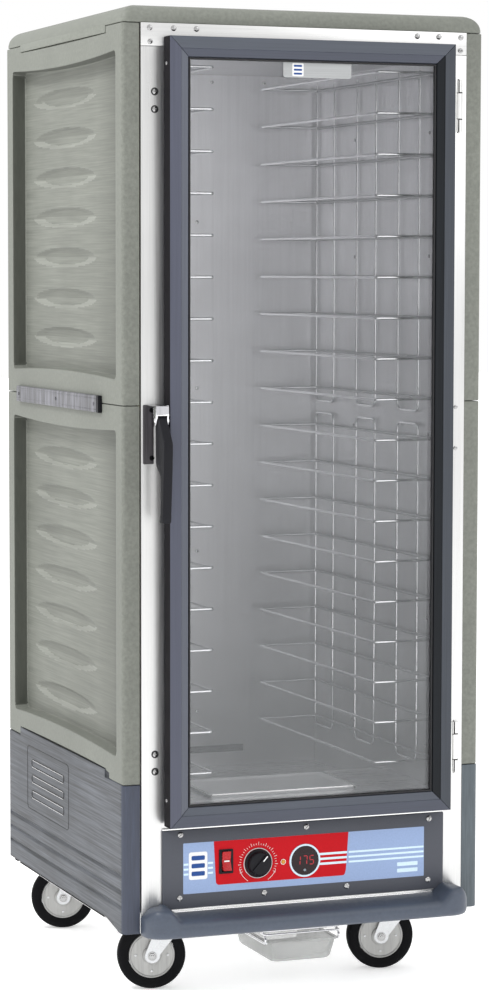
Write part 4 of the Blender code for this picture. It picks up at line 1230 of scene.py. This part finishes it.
def make_display():
    piece = Piece("pale_label", "dark_lens", "digit", "gasket", "amber", "bright")
    piece.add(ring_at(*DIAL, 31, 27.4, 4.3, 6.2), 0)
    piece.add(disc_at(*DIAL, 28, 4.3, 5.3), 1)
    piece.add(box((-28, -5.6, 250.4), (24.5, -5.2, 251.2), 0), 3)
    for index, figure in enumerate("175"):
        for name in SEGMENTS[figure]:
            u, v, upright = SEGMENT_PLACES[name]
            x = DIAL[0] - 13.5 + index * 13.5 + u * 4 + v * 0.8
            z = DIAL[1] + 0.5 + v * 8
            wide, tall = (0.75, 3.3) if upright else (3.2, 0.75)
            spans = ((x - wide, x + wide), (z - tall, z + tall))
            piece.add(plate(*spans, 0.6, 2, -5.6, -5.2, 0), 2)
    piece.add(ring_at(DIAL[0], DIAL[1] - 18, 2.2, 1.5, 5, 5.6, 20), 0)
    piece.add(ring_at(*LAMP, 5.6, 4, 4.3, 6.4, 28), 5)
    dome = [(4.1, 0), (4.1, 1), (3.4, 2.2), (2, 3), (0.1, 3.3)]
    piece.add(lathe(dome, 24), 4, facing_front(LAMP[0], -4.3, LAMP[1]))
    piece.done("display_and_lamp", "cabinet", slot="black_plastic")


def make_bezels():
    piece = Piece("black_plastic", "pale_label", "screw")
    x, z = ROCKER
    outer = round_box((x - 13.8, x + 13.8), (z - 22.6, z + 22.6), 1.5, 3)
    inner = round_box((x - 8.6, x + 8.6), (z - 19.2, z + 19.2), 0.8, 3)
    levels = [(outer, -4.3), (outer, -6.2), (inner, -6.2), (inner, 2)]
    shape = [[at(u, d, v) for u, v in outline] for outline, d in levels]
    piece.add(loft(shape, caps=False))
    piece.add(slab(inner, "Y", 6.6, 7.2, 0))
    piece.add(ring_at(*KNOB, 28.6, 26.6, 4.3, 5.2), 2)
    for turn, (sx, sz) in enumerate((
        (-246.5, 301.7), (1.6, 300.6), (250.8, 299.9), (-248, 184.6), (-81.9, 182.8),
        (83.2, 183.6), (249.1, 183.5),
    )):
        screw(piece, at(sx, -4, sz), 5.6, "slot", angle=0.5 + turn * 0.35, which=2)
    piece.done("panel_bezels_and_screws", "cabinet", slot="black_plastic", sharp=30)


def make_rocker():
    x, z = ROCKER
    tilt = Matrix.Translation(at(x, -2, z)) @ Matrix.Rotation(math.radians(-8), 4, "X")
    face = [(-7.9 - 4.6 * (abs(t) / 17.6) ** 2 + (0.9 if abs(t) < 4 else 0), t)
            for t in (-17.6, -15, -12, -9, -6, -3, 0, 3, 6, 9, 12, 15, 17.6)]
    outline = [(6, 10.5), (6, -10.5)] + [(d + 1.2, v) for d, v in face]
    rings = []
    for u, shrink in ((-8.2, 0.5), (-7.9, 0.1), (-7.2, 0), (7.2, 0), (7.9, 0.1), (8.2, 0.5)):
        rings.append([local(u, d + shrink, v * (1 - shrink * 0.02)) for d, v in outline])
    piece = Piece("red_switch", "white_print_and_painted_highlight")
    piece.add(loft(rings), 0, tilt)
    # The white bar across the rocker's crest is a painted highlight.
    bar = plate((-5.2, 5.2), (-1.3, 1.3), 1, 3, -7.9, -6.4, 0.3)
    bar.transform(Matrix.Translation(-at(0, 0, 0)))
    piece.add(bar, 1, tilt)
    piece.done("rocker_cap", "power_rocker", ("rocker_switch",), 25, "red_switch")


def make_knob():
    piece = Piece("black_plastic", "white_print_and_painted_highlight")
    skirt = [(26, 0.4), (26.2, 2.2), (25.8, 3.2), (24.8, 3.8), (23.4, 4.1), (22.4, 4.8),
             (21.9, 8), (21.4, 11.2), (20.2, 12.7), (18.4, 13.3), (0.1, 13.4)]
    place = facing_front(KNOB[0], -4, KNOB[1])
    piece.add(lathe(skirt, 64), 0, place)
    for index in range(24):
        angle = math.tau * index / 24
        rib = lathe([(0.9, 4.6), (0.9, 11.4), (0.4, 12.2)], 8)
        spot = Matrix.Translation(local(21.9 * math.cos(angle), 21.9 * math.sin(angle), 0))
        piece.add(rib, 0, place @ spot)
    pointer = place @ Matrix.Rotation(math.radians(48), 4, "Z")
    grip = [(-18.5, -4.4), (18, -3.4), (20.4, 0), (18, 3.4), (-18.5, 4.4)]
    bar = loft([[local(u * g, v * g, h) for u, v in grip]
                for h, g in ((12.8, 1), (15.6, 1), (16.4, 0.96))])
    piece.add(bar, 0, pointer)
    line = round_box((7, 19.4), (-1.1, 1.1), 0.8, 2)
    piece.add(loft([[local(u, v, h) for u, v in line] for h in (16.2, 16.7)]), 1, pointer)
    piece.done("dial_knob", "thermostat", ("thermostat_knob",), 35, "black_plastic")


def make_trim_lines():
    """Bright folded edges above and below the control panel."""
    piece = Piece("bright", "black_and_painted_shade")
    piece.add(box((-281, -3, 311.2), (281, -0.2, 314.2), 0.6))
    piece.add(box((-300, -0.5, 142), (300, -0.1, 163.4), 0.1))
    piece.add(box((-281, -2.6, 157), (283, -0.2, 161), 0.8))
    piece.done("panel_edge_folds", "cabinet", slot="bright_plate")


# ------ bumper


def bumper_top(away):
    """The height of its top at a distance from the middle: raised, then rounded off, ends."""
    return 150 + 22 * smooth(254, 284, away) - 14 * smooth(298, 322, away) ** 1.5


def bumper_front(away):
    """The depth of its face: flat, then turning the corner."""
    past = max(away - 282, 0)
    return -15 - math.sqrt(max(0, 40 ** 2 - past ** 2))


def make_bumper():
    stations = [-322, -321.6, -320.6, -319, -316.5, -313]
    stations += filled([-313, -250], 3)[1:] + filled([-250, -20], 16)[1:]
    stations += filled([-20, 0], 2.5)[1:]
    stations += [-x for x in reversed(stations[:-1])]
    rings = []
    for x in stations:
        end = max(0, (abs(x) - 313) / 9)
        tuck = 5 * (1 - math.sqrt(max(0, 1 - end * end)))
        low, high = 119 + tuck, bumper_top(abs(x)) - tuck
        near, far = bumper_front(abs(x)) + tuck * 0.4, -0.4
        lobe = min(15, (high - low) * 0.46, (far - near) * 0.45)
        outline = round_box((near, far), (low, high), (lobe, 2, 2, lobe), 6)
        scoop = 2.6 * smooth(9, 2, abs(x + 6))
        ring = []
        for d, z in outline:
            dip = scoop if z > 148 and -30 < d < -8 else 0
            rise = 9 * smooth(-44, -6, d) * smooth(low + 8, high, z)
            rise *= smooth(300, 262, abs(x))
            ring.append(at(x, d, z - dip + rise))
        rings.append(ring)
    piece = Piece("slate")
    piece.add(loft(rings))
    piece.done("moulded_bumper", "cabinet", ("bumper",), 50, "slate_moulding")


# ------ drip pan


TUB_LEVELS = (
    (50, 21, 181, 46, 10), (57.6, 13, 189, 46.8, 14), (60.4, 9.6, 192.4, 51, 14),
    (65.6, 3, 199, 77, 14), (66.4, 2.2, 199.8, 83.6, 14), (70.6, -2.6, 204.6, 84.4, 14),
    (71, -3, 205, 85.4, 14), (70.8, -2.8, 204.8, 87, 14), (66.5, 1.6, 200.4, 86.8, 14),
    (65, 3.4, 198.6, 84, 14), (64, 5, 197, 78, 14), (58.5, 11.5, 190.5, 53, 14),
    (56.5, 14, 188, 49, 14), (50, 21, 181, 47.8, 10),
)


def make_drip_pan():
    """A clear tub: its outside from the bottom up, its rim, then its inside down to the floor."""
    piece = Piece("clear_tub")
    piece.add(stack([((-half, half), (a, b), corner, z) for half, a, b, z, corner in TUB_LEVELS], 6))
    piece.done("clear_drip_tub", "drip_tray", ("drip_pan",), 40, "clear_sheet")


def make_pan_hanger():
    """Bent wire that carries the pan's rim: two side rails tied by front and rear loops."""
    piece = Piece("chrome", "zinc")
    for sign in (-1, 1):
        x = sign * 73.4
        rail = [(x, 22, 157), (x, 22, 100), (x, 8.6, 91), (x, 12, 82.6),
                (x, 207, 82.6), (x, 208, 100), (x, 194, 157)]
        piece.add(wire(rail, 2.2, 8))
        piece.add(wire([(x * 0.955, 14, 82.4), (x * 0.955, 206, 82.4)], 1.6))
        for depths in ((16, 30), (184, 202)):
            piece.add(side_box(sign, (60, 76), depths, (156.2, 157.8), 0.4), 1)
    for depth, z in ((9, 99.5), (11.5, 106)):
        loop = [(-75, 30, z), (-75, depth, z), (75, depth, z), (75, 30, z)]
        piece.add(wire(loop, 2, 7))
    piece.add(wire([(-74, 208, 96), (74, 208, 96)], 1.8))
    piece.done("wire_pan_hanger", "cabinet", ("pan_hanger",), 50, "chrome_wire")


# ------ casters

CASTER_X = 231
CASTER_ROWS = (("front", 81), ("rear", 627))
TRAIL, WHEEL, TRAIL_TURN = 40.3, 63.5, math.radians(166)


AXLE_END = ((8.6, 22, 22.9, 0.4, 0.3, 28), (6.6, 23.1, 26, 0.6, 0.6, 6),
            (3.4, 26.4, 27.4, 0.6, 0.5, 18))


def fork_leg(inner, outer):
    """One pressed leg: broad at the crown, tapering to a rounded eye at the axle."""
    outline = [(-24, 142), (-25, 134), (-12, 112), (TRAIL - 21, 74)]
    outline += arc((TRAIL, WHEEL), 14, 175, 372, 12)
    outline += [(TRAIL + 1, 98), (32, 116), (28, 134), (27, 142)]
    centre = Vector((12, 105))
    rings = []
    for w, grow in ((inner, 0), (outer - 0.8, 0), (outer, 0.8)):
        ring = []
        for u, v in outline:
            pull = (centre - Vector((u, v))).normalized() * grow
            ring.append(local(u + pull.x, w, v + pull.y))
        rings.append(ring)
    return loft(rings)


def make_caster(name, x, depth):
    stand = Matrix.Translation(at(x, depth, 0)) @ Matrix.Rotation(TRAIL_TURN, 4, "Z")
    axle = stand @ Matrix.Translation((TRAIL * MM, 0, WHEEL * MM))
    make_fork(name, stand, axle)
    make_wheel(name, axle @ Matrix.Rotation(math.radians(90), 4, "X"))


def make_fork(name, stand, axle):
    fork = Piece("zinc", "screw")
    for low, high in ((19, 22), (-19, -22)):
        fork.add(fork_leg(low, high), 0, stand)
    crown = [(-25.5, -22), (27.5, -22), (27.5, 22), (-25.5, 22)]
    levels = ((138.6, 1), (141.4, 1), (143, 0.94))
    rings = [[local(u * grow, v * grow, z) for u, v in crown] for z, grow in levels]
    fork.add(loft(rings), 0, stand)
    race = [(27, 141), (30, 142), (31, 144), (31, 147), (29.6, 149),
            (27, 149.8)]
    fork.add(lathe(race, 40), 0, stand)
    fork.add(lathe([(8, 135), (8, 140)], 6), 1, stand)
    for sign in (1, -1):
        out = axle @ Matrix.Rotation(math.radians(-90 * sign), 4, "X")
        for radius, low, high, chamfer, ease, sides in AXLE_END:
            profile = [(radius, low), (radius, high), (radius - chamfer, high + ease)]
            fork.add(lathe(profile, sides), 1, out)
    fork.done(f"{name}_pressed_fork", f"{name}_swivel", (f"{name}_fork",), 32, "zinc_plate")


def make_wheel(name, lying):
    """The hub and the tyre, turned about the axle."""
    hub = Piece("wheel_disc", "zinc")
    profile = [(43, 12.6), (42.2, 14), (40.4, 14.2), (38.6, 12.8), (20, 12.4), (17.6, 13.4),
               (16.6, 16.2), (12, 17.2), (5.6, 17.4)]
    profile += [(r, -h) for r, h in reversed(profile)]
    hub.add(lathe(profile, 64, loop=True), 0, lying)
    for index in range(4):
        turn = Matrix.Rotation(math.tau * index / 4, 4, "Z") @ Matrix.Translation((0.03, 0, 0))
        for sign in (1, -1):
            rivet = lathe([(2.4, 12.2 * sign), (2.4, 13.2 * sign), (1.6, 13.8 * sign)], 14)
            hub.add(rivet, 1, lying @ turn)
    hub.done(f"{name}_disc_hub", f"{name}_wheel", (f"{name}_hub",), 32, "zinc_plate")

    tyre = Piece("rubber")
    side = [(43.6, 12.4), (46, 13.4), (53, 15.4), (57, 15.9), (60.2, 14.9), (62.4, 12.4),
            (63.3, 8), (63.5, 2)]
    profile = side + [(r, -h) for r, h in reversed(side)]
    tyre.add(lathe(profile, 96, loop=True), 0, lying)
    tyre.done(f"{name}_rubber_tyre", f"{name}_wheel", (f"{name}_tyre",), 40, "rubber")


# ------ back and base


def make_back():
    piece = Piece("back_sheet", "bright", "black_and_painted_shade")
    piece.add(box((-321.5, 715.5, 140), (321.5, 718.9, 1769.6), 0.8))
    for z in (420, 1085):
        piece.add(box((-314, 718.6, z - 9), (314, 719.9, z + 9), 0.6))
    for row in range(7):
        z = 330 - row * 13
        for x in (-160, -40):
            hood = [(718.6, z - 4), (722.6, z - 3.4), (722.6, z - 2.4), (718.6, z + 4)]
            piece.add(slab(hood, "X", x, x + 92, 0.3))
            # A black strip under each hood: painted shade standing for the louvre's opening.
            piece.add(box((x + 3, 718.7, z - 5.6), (x + 89, 719.1, z - 4.2), 0), 2)
    for z in (160, 300, 540, 800, 1060, 1110, 1360, 1620, 1750):
        for sign in (-1, 1):
            screw(piece, at(sign * 308, 718.9, z), 4.8, "cross", (0, 1, 0), z, 1)
    for x in (-180, -60, 60, 180):
        screw(piece, at(x, 718.9, 1752), 4.8, "cross", (0, 1, 0), x, 1)
    piece.done("back_sheet_panel", "cabinet", ("back_panel",), 30, "brushed_metal")


def make_inlet():
    """A flanged socket with three contact blades."""
    inlet = Piece("black_plastic", "bright", "black_and_painted_shade")
    x, z, back = 210, 225, 719.3
    facing_back = Matrix.Translation(at(x, back, z)) @ Matrix.Rotation(math.radians(-90), 4, "X")
    inlet.add(plate((x - 32, x + 32), (z - 32, z + 32), 5, 4, back, back + 3, 0.8))
    collar = [(22, 2.4), (22, 8.2), (21.2, 9), (17.8, 9), (17, 8.2), (17, 2.6),
              (17, 2.4)]
    inlet.add(lathe(collar, 40, loop=True), 0, facing_back)
    for angle in (90, 210, 330):
        u, v = 8.5 * math.cos(math.radians(angle)), 8.5 * math.sin(math.radians(angle))
        low = (x + u - 1, back + 2.8, z + v - 3)
        inlet.add(box(low, (low[0] + 2, back + 7.5, low[2] + 6), 0.3), 1)
    for u in (-25, 25):
        for v in (-25, 25):
            screw(inlet, at(x + u, back + 3, z + v), 3.4, "cross", (0, 1, 0), u + v, 1)
    inlet.done("flanged_inlet", "cabinet", ("power_inlet",), 32, "black_plastic")


def dress_frame_nodes():
    """Finishes for the CAD solids that stay in view."""
    # The right liner takes the lighter copy: painted light.
    finishes = {
        "chassis_frame": "bright", "liner_left": "liner", "liner_right": "liner_painted_light",
        "liner_back": "liner", "liner_ceiling": "liner", "floor_deck": "liner_floor",
        "insulation_jacket": "foam", "blower_motor": "zinc", "blower_wheel": "zinc",
        "heater_element": "zinc", "door_pane": "glass",
    }
    for name, finish in finishes.items():
        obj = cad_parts[name]
        for slot in obj.material_slots:
            slot.material = LOOKS[finish]
        if not obj.material_slots:
            obj.data.materials.append(LOOKS[finish])


def main():
    make_camera()
    make_world()
    make_looks()
    make_floor()
    make_light("key", (2.6, -3.4, 3.4), (0, 0, 0.9), (2.4, 2.4), 25)
    make_light("fill", (-2.5, 0.1, 4), (-0.3, 0, 1.2), (0.9, 0.9), 68)
    SCREWS.update(screw_parts())
    for row in ROWS:
        for side, sign in SIDES:
            make_side_shell(row, side, sign)
    for side, sign in SIDES:
        make_base_shell(side, sign)
        make_seam_strip(side, sign)
    make_lid()
    make_front_frame()
    make_liner_details()
    make_water_pan()
    make_racks()
    make_door_frame()
    make_pane()
    make_hinges()
    make_latch_body()
    make_latch_lever()
    make_latch_strike()
    make_panel_face()
    make_overlay()
    make_display()
    make_bezels()
    make_rocker()
    make_knob()
    make_trim_lines()
    make_bumper()
    make_drip_pan()
    make_pan_hanger()
    for row, depth in CASTER_ROWS:
        for side, sign in SIDES:
            make_caster(f"caster_{row}_{side}", sign * CASTER_X, depth)
    make_back()
    make_inlet()
    dress_frame_nodes()


main()
